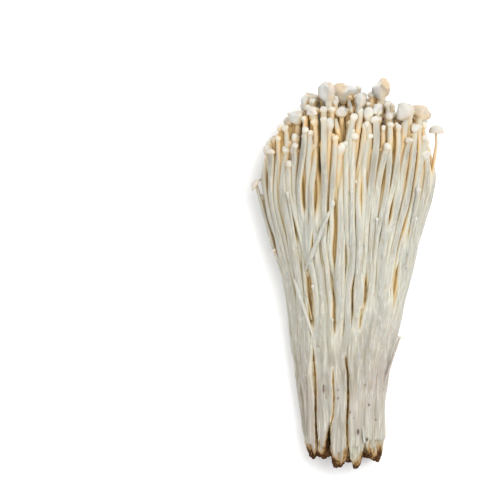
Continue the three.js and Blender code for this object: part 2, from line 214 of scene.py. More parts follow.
def across_at(x, level, edge=1):
    """How far across the bunch an x is: -1 at its left side, 1 at its right side, at most the edge."""
    left, right = between_levels(lambda k: [LEFT[k], RIGHT[k]], level)
    return clamp(mix(-1, 1, (x - left) / (right - left)), -edge, edge)


def kept_in_room(point, tuft, level, radius):
    """An x and z, moved into a tuft's room where they are outside it."""
    x = within(point[0], between_levels(lambda k: width_at_level(tuft, k, radius), level))
    u = across_at(x, level)
    z = within(point[1], between_levels(lambda k: height_at_level(tuft, k, u, radius), level))
    return [x, z]


def place_at(tuft, k, across, depth, inset):
    u = mix(border_at(k, tuft.start), border_at(k, tuft.end), across)
    return section_point(k, u, tuft.layer * depth * math.sqrt(max(1 - u * u, 0)), inset)


def top_over(level, u):
    """The height of the bunch's outer side at a level and a place across it."""
    high, middle = between_levels(lambda k: [HEIGHT[k], split_z(k, u)], level)
    return middle + (high - middle) * math.sqrt(1 - u * u)


def top_at(x, y):
    """The height of the bunch's outer side over a place."""
    level = clamp(level_at(y), 0, LEVELS - 1.001)
    return top_over(level, across_at(x, level, 0.98))


# ---- where the mushrooms of the solids stand ----


def mushroom(tuft, **own):
    """The numbers of a mushroom. Those that aren't given are those of a plain one."""
    plain = {"fixed": None, "tan": 0.0, "look": None, "shape": (), "free": False}
    return SimpleNamespace(tuft=tuft, **{**plain, **own})


def dome_at(tuft, across, depth, tallest):
    """How high the crown is over a place in a tuft, and how near that place is to the outer side."""
    u = mix(tuft.start, tuft.end, across)
    out = depth * math.sqrt(max(1 - u * u, 0))
    drop = UPPER_DROP if tuft.layer > 0 else LOWER_DROP
    return tallest - SIDE_DROP * abs(u) ** SIDE_ROUND - drop * out * out, out


def mushroom_of(tuft, across, depth, level, draw):
    """A mushroom of the rule: stems are shorter towards the sides and the outer side of the bunch."""
    radius = mix(*STEM_RADIUS, draw())
    dome, out = dome_at(tuft, across, depth, TALLEST_Y)
    top_y = dome - mix(*LENGTH_SCATTER, out) * draw()
    cap_radius = radius * mix(*CAP_RATIO, draw() * draw())
    cap_height = cap_radius * mix(*CAP_HEIGHT, draw())
    lean = (mix(-0.35, 0.35, draw()), mix(-0.35, 0.35, draw()))
    bend = (mix(-2.2, 2.2, draw()), mix(-1.6, 1.6, draw()), TURN * draw())
    return mushroom(
        tuft, across=across, depth=depth, level=level, radius=radius, cap_radius=cap_radius,
        cap_height=cap_height, lean=lean, bend=bend, tip_y=top_y - cap_height,
    )


def standout_of(tuft, mark, draw):
    _, at, level, (x, tip_y, z), cap_radius, lean, look = mark
    bend = (mix(-1, 1, draw()), 0, TURN * draw())
    return mushroom(
        tuft, across=at[0], depth=at[1], level=level, radius=clamp(cap_radius / 2, 0.6, 1.5),
        cap_radius=cap_radius, cap_height=cap_radius * 0.9, lean=lean, bend=bend, tip_y=tip_y,
        fixed=kept_in_room([x, z], tuft, level_at(tip_y), cap_radius), look=look,
    )


def row_along(tuft, count, draw):
    """Places spaced evenly along a tuft's outer side, each moved a little by a draw."""
    samples = 150
    first = 0.1 if tuft.start == -1 else 0.5
    final = count - (0.1 if tuft.end == 1 else 0.5)
    a = math.acos(-tuft.start)
    b = math.acos(-tuft.end)
    places = []
    length = 0
    last = None
    for n in range(samples + 1):
        across = (-math.cos(mix(a, b, n / samples)) - tuft.start) / (tuft.end - tuft.start)
        point = place_at(tuft, 3, across, 1, STEM_RADIUS[0])
        if last:
            length += math.hypot(point[0] - last[0], point[1] - last[1])
        places.append((across, length))
        last = point
    found = []
    for n in range(count):
        wanted = length * (mix(first, final, n / (count - 1)) + mix(-0.15, 0.15, draw())) / count
        found.append(next(across for across, reached in places if reached >= wanted))
    return found


def furthest_spot(spot_of, found, draw, candidates, depths):
    """The candidate that is furthest from the stems already placed."""
    best = None
    best_distance = -1
    spots = [spot_of(m.across, m.depth) for m in found]
    for _ in range(candidates):
        across = draw()
        depth = mix(*depths, draw())
        x, z = spot_of(across, depth)
        nearest = min(math.hypot(x - sx, z - sz) for sx, sz in spots)
        if nearest > best_distance:
            best = (across, depth)
            best_distance = nearest
    return best


def mushrooms_of(tuft, seed):
    draw = draws_from(seed)
    found = [standout_of(tuft, mark, draw) for mark in STANDOUTS if mark[0] == tuft.name]
    for across in row_along(tuft, tuft.outer, draw):
        found.append(mushroom_of(tuft, across, 1, 0, draw))

    def spot_of(across, depth):
        return place_at(tuft, 4, across, depth, STEM_RADIUS[1])

    for _ in range(tuft.inner):
        across, depth = furthest_spot(spot_of, found, draw, 12, (0.05, 0.85))
        found.append(mushroom_of(tuft, across, depth, 3, draw))
    return found


def first_path(m):
    path = []
    for k in range(LEVELS):
        x, z = place_at(m.tuft, k, m.across, m.depth, m.radius)
        swing = clamp((k - 1) / 5, 0, 1) * math.sin(0.9 * k + m.bend[2])
        path.append([x + m.bend[0] * swing, z + m.bend[1] * swing])
    return path


def point_on(m, level):
    return between_levels(lambda k: m.path[k], level)


def pushed_apart(a, b, least, share=0.5):
    """Two points closer than the least distance, each moved that share of what is missing."""
    dx = b[0] - a[0]
    dz = b[1] - a[1]
    apart = max(math.sqrt(dx * dx + dz * dz), 0.01)
    if apart >= least:
        return a, b
    push = share * (least - apart) / apart
    return [a[0] - dx * push, a[1] - dz * push], [b[0] + dx * push, b[1] + dz * push]


def set_paths(mushrooms):
    for m in mushrooms:
        m.drawn = first_path(m)
        m.path = list(m.drawn)
        m.top = level_at(m.tip_y)
        m.tip = m.fixed or point_on(m, m.top)


def crowd_at(k):
    """Stems only touch, but at the foot they have grown together and may overlap."""
    return mix(0.62, 1.02, clamp(k / 4, 0, 1))


def push_tip_off(m, other):
    """A cap makes room beside a stem that passes it."""
    if other.top > m.top and other.level < m.top:
        least = 0.85 * (m.cap_radius + other.radius)
        m.tip = pushed_apart(m.tip, point_on(other, m.top), least)[0]


def shared_levels(a, b):
    """The levels that two stems both pass."""
    last = min(a.top, b.top) + 0.5
    return [k for k in range(max(a.level, b.level), LEVELS) if k <= last]


def cap_distance(a, b, share):
    """How far apart two caps have to be: less where they are at other heights."""
    both = a.cap_radius + b.cap_radius
    offset = min(abs(a.tip_y - b.tip_y) / both, 1)
    return share * both * math.sqrt(1 - offset * offset)


def push_pair(a, b):
    for k in shared_levels(a, b):
        least = crowd_at(k) * (a.radius + b.radius)
        a.path[k], b.path[k] = pushed_apart(a.path[k], b.path[k], least)
    a.tip, b.tip = pushed_apart(a.tip, b.tip, cap_distance(a, b, 0.85))
    push_tip_off(a, b)
    push_tip_off(b, a)


def smooth_path(m, cap_room):
    """Evens out how far the stem was pushed, and keeps it in its tuft's room."""
    moved = [[p[0] - d[0], p[1] - d[1]] for p, d in zip(m.path, m.drawn)]
    for k in range(1, LEVELS - 1):
        evened = [d + (low + high) / 2 for d, low, high in zip(m.drawn[k], moved[k - 1], moved[k + 1])]
        m.path[k] = [mix(v, e, 0.2) for v, e in zip(m.path[k], evened)]
    last = int(clamp(math.floor(m.top + 0.5), 1, LEVELS - 1))
    m.path[last] = [mix(v, t, 0.5) for v, t in zip(m.path[last], m.tip)]
    if m.free:
        m.path = [[x, min(z, HEIGHT[k] - m.radius - FREE_DEPTH)] for k, (x, z) in enumerate(m.path)]
        highest = between_levels(lambda k: [HEIGHT[k]], m.top)[0]
        m.tip = [m.tip[0], min(m.tip[1], highest - m.cap_radius - FREE_DEPTH)]
        return
    m.path = [kept_in_room(point, m.tuft, k, m.radius) for k, point in enumerate(m.path)]
    m.tip = kept_in_room(m.fixed or m.tip, m.tuft, m.top, m.cap_radius * cap_room)


def settle(mushrooms):
    set_paths(mushrooms)
    for _ in range(ROUNDS):
        for i, a in enumerate(mushrooms):
            for b in mushrooms[i + 1:]:
                push_pair(a, b)
        for m in mushrooms:
            smooth_path(m, 1.05)


# ---- thinner mushrooms between them ----

# How many of them each tuft has.
FILLERS = {
    "upper_1": 12, "upper_2": 12, "upper_3": 19, "upper_4": 15, "upper_5": 17,
    "lower_1": 22, "lower_2": 10, "lower_3": 15,
}
FILLER_RADIUS = (0.8, 1.3)
FILLER_SEED = 300
FILLER_ROUNDS = 14
BRIDGES = 3  # stems over each border between two upper tufts
FREE_DEPTH = 0.8  # how far under the bunch's outer side they stay

# Caps on the side that faces up: x, y, how far under the highest stems, the cap's radius and height, the
# stem's radius, how the cap leans, and how tan it is. Some also say how far it has opened, how lumpy it is
# and which side is tan.
MARKS = [
    (-8.5, 72.3, 6.0, 2.5, 8.6, 1.2, (0.15, 0.3), 0.6, 1.3, 0.55, 1),
    (5.3, 70.9, 4.0, 1.8, 4.4, 1.1, (0.1, 0.3), 0.6, 1.2, 0.4, 1),
    (8.3, 64.4, 0.8, 2.1, 5.9, 1.3, (0.0, 0.4), 0.0),
    (-22.0, 55.2, 0.8, 1.6, 4.2, 1.1, (-0.1, 0.3), 0.25),
    (-23.6, 50.0, 3.2, 1.3, 2.6, 1.2, (-0.2, 0.2), 0.4),
    (-22.0, 50.1, 0.2, 1.75, 4.4, 1.2, (-0.2, 0.4), 0.0),
    (-10.2, 51.0, 0.8, 1.6, 3.5, 1.1, (0.0, 0.4), 0.1),
    (-13.6, 52.5, 1.0, 1.3, 3.0, 1.0, (-0.1, 0.3), 0.3),
    (-3.9, 50.0, 0.2, 2.1, 6.0, 1.4, (0.1, 0.4), 0.0),
    (16.7, 64.4, 2.2, 2.1, 3.6, 1.2, (0.2, 0.3), 0.3),
    (27.6, 60.0, 0.0, 2.1, 3.0, 1.1, (0.1, 0.9), 0.0),
    (30.5, 48.0, 0.8, 2.3, 5.0, 1.3, (0.3, 0.4), 0.0),
    (21.4, 65.2, 1.2, 3.4, 7.4, 1.4, (-0.5, 0.3), 0.1, 0.6, 0.6, 0),
    (29.7, 65.7, 5.0, 2.9, 5.6, 1.3, (0.3, 0.2), 0.9, 1.25, 0.5, 0),
    (25.1, 67.0, 4.0, 2.4, 4.6, 1.2, (0.1, 0.3), 0.8, 1.2, 0.5, 1),
    (1.1, 58.4, 1.2, 1.5, 3.0, 1.0, (0.1, 0.4), 0.2),
    (11.2, 58.0, 1.0, 1.5, 3.0, 1.1, (0.2, 0.4), 0.1),
    (13.3, 51.3, 1.2, 1.0, 2.0, 0.8, (0.2, 0.4), 0.5),
    (0.7, 62.4, 1.6, 1.2, 2.4, 0.9, (0.1, 0.4), 0.5),
    (-10.6, 67.6, 1.8, 1.7, 3.0, 1.1, (0.2, 0.3), 0.2),
    (-14.4, 67.1, 1.5, 2.0, 3.4, 1.2, (-0.1, 0.3), 0.4, 1.15, 0.4, 1),
    (-27.4, 34.0, 0.6, 1.2, 4.0, 0.9, (-0.3, 0.4), 0.0),
    (-34.2, 37.0, 4.0, 1.6, 4.4, 1.0, (-0.4, 0.2), 0.4),
    (-35.4, 31.0, 6.0, 1.5, 3.0, 0.9, (-0.5, 0.2), 0.4),
    (-15.3, 64.5, 2.5, 1.7, 3.0, 1.1, (-0.2, 0.2), 0.1),
    (-13.6, 62.0, 1.5, 1.6, 3.6, 1.1, (-0.1, 0.3), 0.0),
    (-18.3, 63.5, 2.0, 1.5, 3.0, 1.0, (-0.5, 0.2), 0.1),
    (-24.9, 60.0, 2.0, 1.6, 2.6, 1.0, (-0.5, 0.2), 0.2),
    (-29.1, 56.4, 1.5, 1.5, 2.6, 1.0, (-0.6, 0.2), 0.3),
    (5.3, 66.0, 2.5, 1.5, 3.6, 1.1, (0.0, 0.2), 0.1),
    (11.6, 67.5, 3.0, 2.0, 4.5, 1.2, (0.1, 0.2), 0.2, 0.9, 0.5, 1),
    (18.8, 60.5, 1.5, 1.6, 3.4, 1.1, (0.2, 0.3), 0.1),
    (32.6, 61.0, 3.0, 1.8, 3.4, 1.1, (0.4, 0.2), 0.3),
    (-6.4, 56.0, 1.0, 1.5, 3.2, 1.1, (-0.1, 0.3), 0.1),
    (-1.0, 53.5, 0.8, 1.3, 2.6, 1.0, (0.1, 0.3), 0.1),
    (7.0, 54.5, 0.8, 1.6, 3.2, 1.1, (0.1, 0.2), 0.0),
    (18.3, 54.5, 0.8, 1.5, 3.0, 1.1, (0.1, 0.3), 0.1),
    (23.8, 54.0, 0.5, 1.6, 3.4, 1.2, (0.2, 0.2), 0.0),
    (-26.2, 51.0, 0.8, 1.6, 3.2, 1.1, (-0.3, 0.3), 0.1),
    (-18.6, 56.5, 1.0, 1.4, 3.0, 1.1, (-0.2, 0.3), 0.1),
    (-16.1, 51.0, 0.6, 1.4, 3.0, 1.1, (-0.1, 0.3), 0.2),
    (9.9, 50.0, 0.5, 1.4, 3.0, 1.1, (0.1, 0.3), 0.0),
    (26.7, 50.0, 0.5, 1.5, 3.0, 1.1, (0.3, 0.3), 0.1),
    (5.3, 60.5, 1.5, 1.4, 3.0, 1.0, (0.0, 0.3), 0.2),
    (14.1, 59.5, 1.2, 1.5, 3.2, 1.1, (0.1, 0.3), 0.0),
]

# Pins, which are mushrooms that never grew: x and y of the head, its radius, how long the stem is and how
# far across it goes on the way down.
PINS = [
    (1.2, 33.8, 0.8, 22, -0.5),
    (28.9, 34.6, 1.1, 26, -4.5),
    (28.0, 22.6, 0.9, 20, -3.8),
    (11.8, 22.4, 0.8, 18, -0.8),
    (-14.9, -5.6, 0.7, 9, 1.2),
    (-17.3, -9.0, 0.7, 10, 2.0),
    (-25.4, 33.0, 0.9, 22, 3.5),
    (-6.8, -19.6, 0.6, 8, 0.4),
    (6.9, 12.0, 0.6, 12, 0.2),
]

# Stems that lie across the others: where they begin and end, their radius and how white they are.
CROSSING = [
    ((-22.6, -2.0), (-14.6, -26.5), 0.75, 0.6),
    ((7.1, -75.0), (6.1, -63.5), 0.55, 0.5),
    ((-18.3, 1.0), (-7.8, 27.0), 1.05, 0.15),
]

# Clefts in the side that faces up: half their width, their depth, how dark they are (below 0 they
# aren't), and x and y along them. Stems part there, and the grown-together part is cut.
# How dark a cleft is sets how much shade is painted in it.
CLEFTS = [
    (0.5, 2.0, 0.8, [(-16.5, -26.7), (-14.8, -33), (-14, -40.5), (-13.6, -48.5), (-13.6, -59),
                     (-13.4, -74.5)]),
    (0.45, 1.6, 0.6, [(-6.4, -38.4), (-6.4, -46), (-6, -51.4), (-6.4, -59), (-7.7, -64.5), (-8.1, -76.2)]),
    (0.8, 3.2, 1.0, [(-7.3, -61.9), (-8.1, -65.3), (-8.1, -69.5), (-8.1, -75.4)]),
    (0.55, 2.2, 0.9, [(-2.2, -31.7), (-1, -36.8), (-0.1, -42.2), (-0.1, -54), (-0.6, -61.9),
                      (-0.1, -76.2)]),
    (0.35, 0.8, -0.9, [(9.5, -56.1), (10.4, -61.1), (11.2, -67.0)]),
    (0.4, 1.6, 0.6, [(5.7, -65.3), (6.6, -69.9), (7.4, -75.4)]),
    (0.35, 1.2, 0.6, [(-12.2, -68.2), (-12.2, -74.5)]),
    (0.9, 1.5, 0.3, [(-15.7, 2.7), (-16.5, -4.4), (-16.5, -10.7), (-15.7, -17.0), (-14.4, -23.3)]),
    (0.5, 2.0, 0.7, [(-6.0, -7.3), (-6.0, -15.8), (-6.0, -25.0)]),
    (0.4, 1.6, 0.5, [(1.5, -1.5), (1.5, -10.7), (2.0, -19.1)]),
    (0.55, 1.8, 0.8, [(7.4, -0.6), (7.0, -6.5), (6.6, -14.1)]),
    (0.4, 1.6, 0.7, [(5.3, -13.2), (4.9, -19.1), (4.5, -24.1)]),
    (0.35, 1.2, 0.3, [(-1.4, -18.3), (-1.4, -29.6)]),
    (0.6, 1.7, 0.6, [(22.5, 7.8), (20.0, 0.6), (18.3, -4.8), (17.5, -11.5)]),
    (0.45, 1.8, 0.6, [(-14.8, 17.8), (-15.3, 13.2), (-16.1, 8.6)]),
    (0.4, 1.6, 0.5, [(-11.9, 14.5), (-12.3, 5.2)]),
    (0.8, 1.6, 0.3, [(-5.9, 35.9), (-5.0, 22.9), (-5.6, 12.4), (-6.0, 2.7)]),
    (0.4, 1.4, 0.6, [(-1.4, 15.3), (-1.0, 1.9)]),
    (0.3, 0.7, -0.9, [(-17.8, -36.8), (-17.4, -46.4)]),
    (0.3, 0.7, -0.9, [(-9.8, -46.4), (-9.4, -52.7)]),
    (0.7, 2.5, 0.8, [(-20.9, 44.0), (-18.8, 35.0), (-18.5, 24.0)]),
    (0.8, 2.0, 0.2, [(-14.0, 41.0), (-14.0, 26.0)]),
    (0.6, 2.5, 0.8, [(4.1, 46.0), (4.3, 38.0), (5.5, 35.0), (6.2, 24.0)]),
    (0.4, 2.0, 0.6, [(14.6, 44.0), (14.6, 36.0)]),
    (0.7, 2.5, 0.7, [(18.1, 34.0), (16.9, 20.0)]),
    (0.5, 2.0, 0.4, [(23.4, 44.0), (24.1, 38.0)]),
    (0.9, 3.0, 0.8, [(-5.6, 65.0), (-3.5, 54.0)]),
    (0.6, 3.0, 0.8, [(-0.1, 73.0), (1.5, 67.0)]),
    (0.9, 2.5, 0.3, [(18.8, 59.0), (18.8, 50.0)]),
]


def filler_of(tuft, across, depth, draw):
    radius = mix(*FILLER_RADIUS, draw())
    dome, out = dome_at(tuft, across, depth, TALLEST_Y - 1.5)
    top_y = dome - mix(5, 24, out) * draw() ** 1.3
    cap_radius = radius * mix(1.35, 2.3, draw() ** 2)
    cap_height = cap_radius * mix(0.95, 1.7, draw())
    lean = (mix(-0.4, 0.4, draw()), mix(-0.3, 0.5, draw()))
    bend = (mix(-1.6, 1.6, draw()), mix(-1.2, 1.2, draw()), TURN * draw())
    return mushroom(
        tuft, across=across, depth=depth, level=2, radius=radius, cap_radius=cap_radius,
        cap_height=cap_height, lean=lean, bend=bend, tip_y=top_y - cap_height, tan=0.6 * draw() ** 2,
    )


def marked_of(tuft, mark, draw):
    """A mushroom whose cap is one of MARKS. It stands in its tuft straight below its cap."""
    x, tip_y, under, cap_radius, cap_height, radius, lean, tan, *shape = mark
    level = level_at(tip_y)
    u = across_at(x, level, 0.999)
    return mushroom(
        tuft, across=clamp((u - tuft.start) / (tuft.end - tuft.start), 0, 1), depth=0.9, level=2,
        radius=radius, cap_radius=cap_radius, cap_height=cap_height, lean=lean,
        bend=(mix(-0.6, 0.6, draw()), 0, TURN * draw()), tip_y=tip_y,
        fixed=[x, top_over(level, u) - under - cap_radius], tan=tan, shape=shape,
    )


def bridge_of(tuft, n, draw):
    """A stem that lies over the border to the next tuft. It isn't kept in its tuft's room."""
    radius = mix(0.95, 1.2, draw())
    u = tuft.end
    dome = TALLEST_Y - UPPER_DROP * (1 - u * u) - SIDE_DROP * abs(u) ** SIDE_ROUND
    top_y = dome - mix(2, 22, draw()) - 4 * n
    cap_radius = radius * mix(1.3, 1.9, draw())
    return mushroom(
        tuft, across=1 + mix(-0.05, 0.05, draw()), depth=mix(0.99, 0.9, draw()), level=1 + n % 2,
        radius=radius, cap_radius=cap_radius, cap_height=1.5 * cap_radius,
        lean=(mix(-0.3, 0.3, draw()), mix(0, 0.5, draw())), bend=(mix(-2.4, 2.4, draw()), 0, TURN * draw()),
        tip_y=top_y - 1.5 * cap_radius, tan=0.3 * draw(), free=True,
    )


def owner_of(mark, tufts):
    """The upper tuft whose share of the width holds a mark's cap."""
    u = across_at(mark[0], level_at(mark[1]))
    return next(tuft for tuft in tufts if tuft.layer > 0 and u <= tuft.end)


def give_way(a, b):
    """A thinner mushroom makes room for one of the solids, which doesn't move."""
    for k in shared_levels(a, b):
        least = 0.94 * crowd_at(k) * (a.radius + b.radius)
        a.path[k] = pushed_apart(a.path[k], b.path[k], least, 0.8)[0]
    if a.fixed is None:
        a.tip = pushed_apart(a.tip, b.tip, cap_distance(a, b, 0.8), 0.8)[0]
        push_tip_off(a, b)


def settle_between(fillers, standing):
    set_paths(fillers)
    for _ in range(FILLER_ROUNDS):
        for i, a in enumerate(fillers):
            for b in fillers[i + 1:]:
                push_pair(a, b)
            for b in standing:
                give_way(a, b)
        for m in fillers:
            smooth_path(m, 0.9)


def fillers_of(tuft, tufts, draw):
    """The marked mushrooms, the bridges, and others where there is most room."""
    found = [marked_of(tuft, mark, draw) for mark in MARKS if owner_of(mark, tufts) is tuft]
    if tuft.layer > 0 and tuft.end < 1:
        found += [bridge_of(tuft, i, draw) for i in range(BRIDGES)]

    def spot_of(across, depth):
        return place_at(tuft, 4, across, depth, FILLER_RADIUS[1])

    for _ in range(FILLERS[tuft.name]):
        across, depth = furthest_spot(spot_of, tuft.standing + found, draw, 10, (0.3, 1.0))
        found.append(filler_of(tuft, across, depth, draw))
    return found


def grow_bunch():
    """Every tuft with its mushrooms: the ones of the solids, and those between them."""
    tufts = [tuft_of(row) for row in TUFTS]
    for n, tuft in enumerate(tufts):
        tuft.standing = mushrooms_of(tuft, n + 1)
        settle(tuft.standing)
    for n, tuft in enumerate(tufts):
        found = fillers_of(tuft, tufts, draws_from(n + FILLER_SEED))
        settle_between(found, tuft.standing)
        tuft.mushrooms = tuft.standing + found
    return tufts


# ---- shapes ----

RING_STEP = 2.4  # along a stem
SIDES = 14
RELEASE = (-40, 24)  # stems leave the grown-together part somewhere between these heights
HIDDEN = 16  # a round stem begins this far below that, thin and out of sight

# The lower part of a cap, from the stem to its widest place: how far the radius has gone from the stem's to
# the cap's, and the height as a share of the cap's. A bud widens slowly, and an opened cap has a brim.
BUD = [(0.0, -0.12), (0.2, 0.06), (0.52, 0.22), (0.84, 0.39), (1.0, 0.54)]
OPENED = [(0.0, -0.03), (0.3, -0.01), (0.7, 0.0), (0.96, 0.04), (1.0, 0.14)]
# A cap that has turned up, over its rim and down to the middle of its hollow.
TURNED = [
    (0.0, -0.1), (0.22, 0.12), (0.42, 0.36), (0.62, 0.6), (0.82, 0.82), (1.0, 1.0),
    (1.04, 1.07), (0.93, 1.09), (0.72, 0.98), (0.45, 0.9), (0.2, 0.86),
]
HOLLOW = 0.84  # the height of the middle of its hollow, as a share of the cap's
# For each ring of a cap, from the stem to the crown: how white it is, how tan when it is shut, and how tan
# when it has turned up. The tan under a shut cap is partly painted shade.
CAP_SHARE = [0.05, 0.2, 0.45, 0.75] + 7 * [1.0]
TAN_SHUT = [0.5, 0.9, 1.0, 1.0, 0.7, 0.45] + 5 * [0.3]
TAN_TURNED = [0.05, 0.15, 0.3, 0.45, 0.6, 0.7, 0.8] + 4 * [1.0]
SWAY = 1.9  # how far a stem's last stretch may turn aside
SWAY_LENGTH = 17
# The shoulders of the bunch, as heights and the x there. Caps don't lean out further than this.
LEFT_SHOULDER = ([38, 42, 49, 56, 61, 69, 74], [-60, -35.6, -34.6, -34.2, -30.2, -24.0, -17.5])
RIGHT_SHOULDER = ([38, 43, 47, 60, 66, 74], [60, 38.0, 33.2, 32.8, 31.0, 27.0])


def unit(way):
    return way / np.linalg.norm(way)


class Shape:
    """Vertices, faces and one list of numbers a vertex for each named attribute."""

    def __init__(self):
        self.vertices = []
        self.faces = []
        self.values = {"tint": [], "cap": [], "tan": [], "groove": [], "stain_and_shade": [], "cleft": []}

    def add(self, vertices, faces, **values):
        start = len(self.vertices)
        self.vertices.extend(vertices)
        self.faces.extend([tuple(start + i for i in face) for face in faces])
        for name, kept in self.values.items():
            value = values.get(name, 0.0)
            kept.extend(value if isinstance(value, (list, np.ndarray)) else [value] * len(vertices))


def through(stops, step):
    """A smooth line through the stops, with a point about every step."""
    stops = np.array(stops, float)
    ends = np.vstack([2 * stops[0] - stops[1], stops, 2 * stops[-1] - stops[-2]])
    points = []
    for n in range(1, len(ends) - 2):
        p0, p1, p2, p3 = ends[n - 1:n + 3]
        t1 = (p2 - p0) / 2
        t2 = (p3 - p1) / 2
        # A short span next to a long one gets a tangent of its own length, so that the line never loops.
        span = np.linalg.norm(p2 - p1)
        t1 = t1 * min(1, span / max(np.linalg.norm(t1), 1e-6))
        t2 = t2 * min(1, span / max(np.linalg.norm(t2), 1e-6))
        count = max(int(round(span / step)), 1)
        for i in range(count):
            t = i / count
            a = 2 * t**3 - 3 * t**2 + 1
            b = t**3 - 2 * t**2 + t
            c = -2 * t**3 + 3 * t**2
            d = t**3 - t**2
            points.append(a * p1 + b * t1 + c * p2 + d * t2)
    points.append(ends[-2])
    return np.array(points)


def axes_across(points):
    """For each point of a line, the sideways and upward axes across it."""
    ways = np.gradient(points, axis=0)
    ways /= np.linalg.norm(ways, axis=1)[:, None]
    side = np.cross(ways, [0, 0, 1])
    side /= np.linalg.norm(side, axis=1)[:, None]
    return side, np.cross(side, ways)


def rings_round(points, radii, sides, wide=1.0):
    side, up = axes_across(points)
    angles = np.arange(sides) / sides * 2 * math.pi
    across = -np.cos(angles)[None, :, None] * side[:, None, :] * wide
    above = np.sin(angles)[None, :, None] * up[:, None, :] / wide
    return points[:, None, :] + (across + above) * np.asarray(radii)[:, None, None]


def lofted(rings, start, end):
    """Vertices and faces of a closed skin over rings of equal length."""
    count = len(rings)
    sides = len(rings[0])
    vertices = [tuple(p) for ring in rings for p in ring] + [tuple(start), tuple(end)]
    faces = []
    for r in range(count - 1):
        for s in range(sides):
            a = r * sides + s
            b = r * sides + (s + 1) % sides
            faces.append((a, b, b + sides, a + sides))
    last = (count - 1) * sides
    for s in range(sides):
        t = (s + 1) % sides
        faces.append((len(vertices) - 2, t, s))
        faces.append((len(vertices) - 1, last + s, last + t))
    return vertices, faces


def tube(line, radii, sides, wide=1.0):
    """A closed skin round a line, with more width than height where wide is over 1."""
    return lofted(rings_round(line, radii, sides, wide), line[0], line[-1])


def middle_of(section):
    return [sum(p[i] for p in section) / len(section) for i in range(2)]


def sunk_in_core(m, k):
    return [mix(v, c, 0.55) for v, c in zip(m.path[k], middle_of(tuft_section(m.tuft, k, 0)))]


def stops_of(m):
    stops = []
    k = m.level
    while k < m.top - 0.25:
        x, z = sunk_in_core(m, k) if k == m.level and k > 0 else m.path[k]
        stops.append((x, level_y(m.tuft, k), z))
        k += 1
    stops.append((m.tip[0], m.tip_y, m.tip[1]))
    return stops


def line_of(m, draw):
    """The middle line of a stem, with a slight waver that fades at both ends."""
    points = through(stops_of(m), RING_STEP)
    y = points[:, 1]
    share = np.clip((y - y[0]) / max(y[-1] - y[0], 1), 0, 1)
    fade = np.sin(math.pi * share) ** 0.7 * np.clip((y + 60) / 50, 0, 1)
    waver = mix(0.08, 0.26, draw())
    wave = 2 * math.pi / mix(16, 34, draw())
    points[:, 0] += waver * fade * np.sin(wave * y + TURN * draw())
    points[:, 2] += 0.7 * waver * fade * np.sin(0.8 * wave * y + TURN * draw())
    sway = SWAY * draw() * (1 if m.fixed is None else 0.25)
    way = TURN * draw()
    bent = np.clip((y - (y[-1] - SWAY_LENGTH)) / SWAY_LENGTH, 0, 1) ** 2
    points[:, 0] += sway * math.cos(way) * bent
    points[:, 2] += 0.6 * sway * math.sin(way) * bent
    keep_in_shoulders(m, points, bent)
    if m.tuft.layer > 0:
        for wide, depth, _, path in CLEFTS:
            step_aside(m, points, wide, depth, path)
    return points


def keep_in_shoulders(m, points, bent):
    """Bends a stem's last stretch back where its cap would stand out of the bunch."""
    reach = 2.0 if m.look is None else 1.0
    points[:, 0] += max(np.interp(points[-1, 1] + 1, *LEFT_SHOULDER) + reach - points[-1, 0], 0) * bent
    if m.look is None:
        points[:, 0] -= max(points[-1, 0] + 1 - np.interp(points[-1, 1] + 1, *RIGHT_SHOULDER), 0) * bent


def step_aside(m, points, wide, depth, path):
    """Moves a stem's line sideways where it would lie over a cleft."""
    heights = [p[1] for p in reversed(path)]
    y = points[:, 1]
    inside = np.minimum(y - heights[0], heights[-1] - y)
    if inside.max() <= 0:
        return
    away = points[:, 0] - np.interp(y, heights, [p[0] for p in reversed(path)])
    near = away[inside > 0]
    if near.min() < -1.2 and near.max() > 1.2:
        return
    middle = len(heights) // 2
    deep = points[:, 2] < top_at(path[middle][0], path[middle][1]) - depth - 2.5
    need = 1.1 * wide + 0.9 * m.radius
    push = np.clip(need - np.abs(away), 0, 1.5) * np.clip(inside / 4 + 0.5, 0, 1) * ~deep
    for _ in range(6):
        push = np.convolve(np.pad(push, 1, "edge"), [0.25, 0.5, 0.25], "valid")
    points[:, 0] += push * (1 if near.mean() > 0 else -1)


def cap_profile(m, radius, draw):
    """A cap's radius and height above its stem for each ring, from the top of the stem to the crown."""
    opened = min(m.brim, 1)
    turned = max(m.brim - 1, 0)
    profile = []
    for (bud_wide, bud_high), (open_wide, open_high) in zip(BUD, OPENED):
        profile.append((mix(bud_wide, open_wide, opened), mix(bud_high, open_high, opened)))
    edge = profile[-1][1]
    blunt = mix(1.7, 2.5, draw())
    for n in range(1, 7):
        t = n / 7
        shrink = math.cos(t * math.pi / 2) ** (2 / blunt)
        profile.append((shrink, edge + (1 - edge) * math.sin(t * math.pi / 2)))
    rings = []
    for n, ((r, h), (up_r, up_h)) in enumerate(zip(profile, TURNED)):
        inner = radius if n < len(BUD) else 0
        rings.append((mix(inner, m.cap_radius, mix(r, up_r, turned)), mix(h, up_h, turned) * m.cap_height))
    return rings


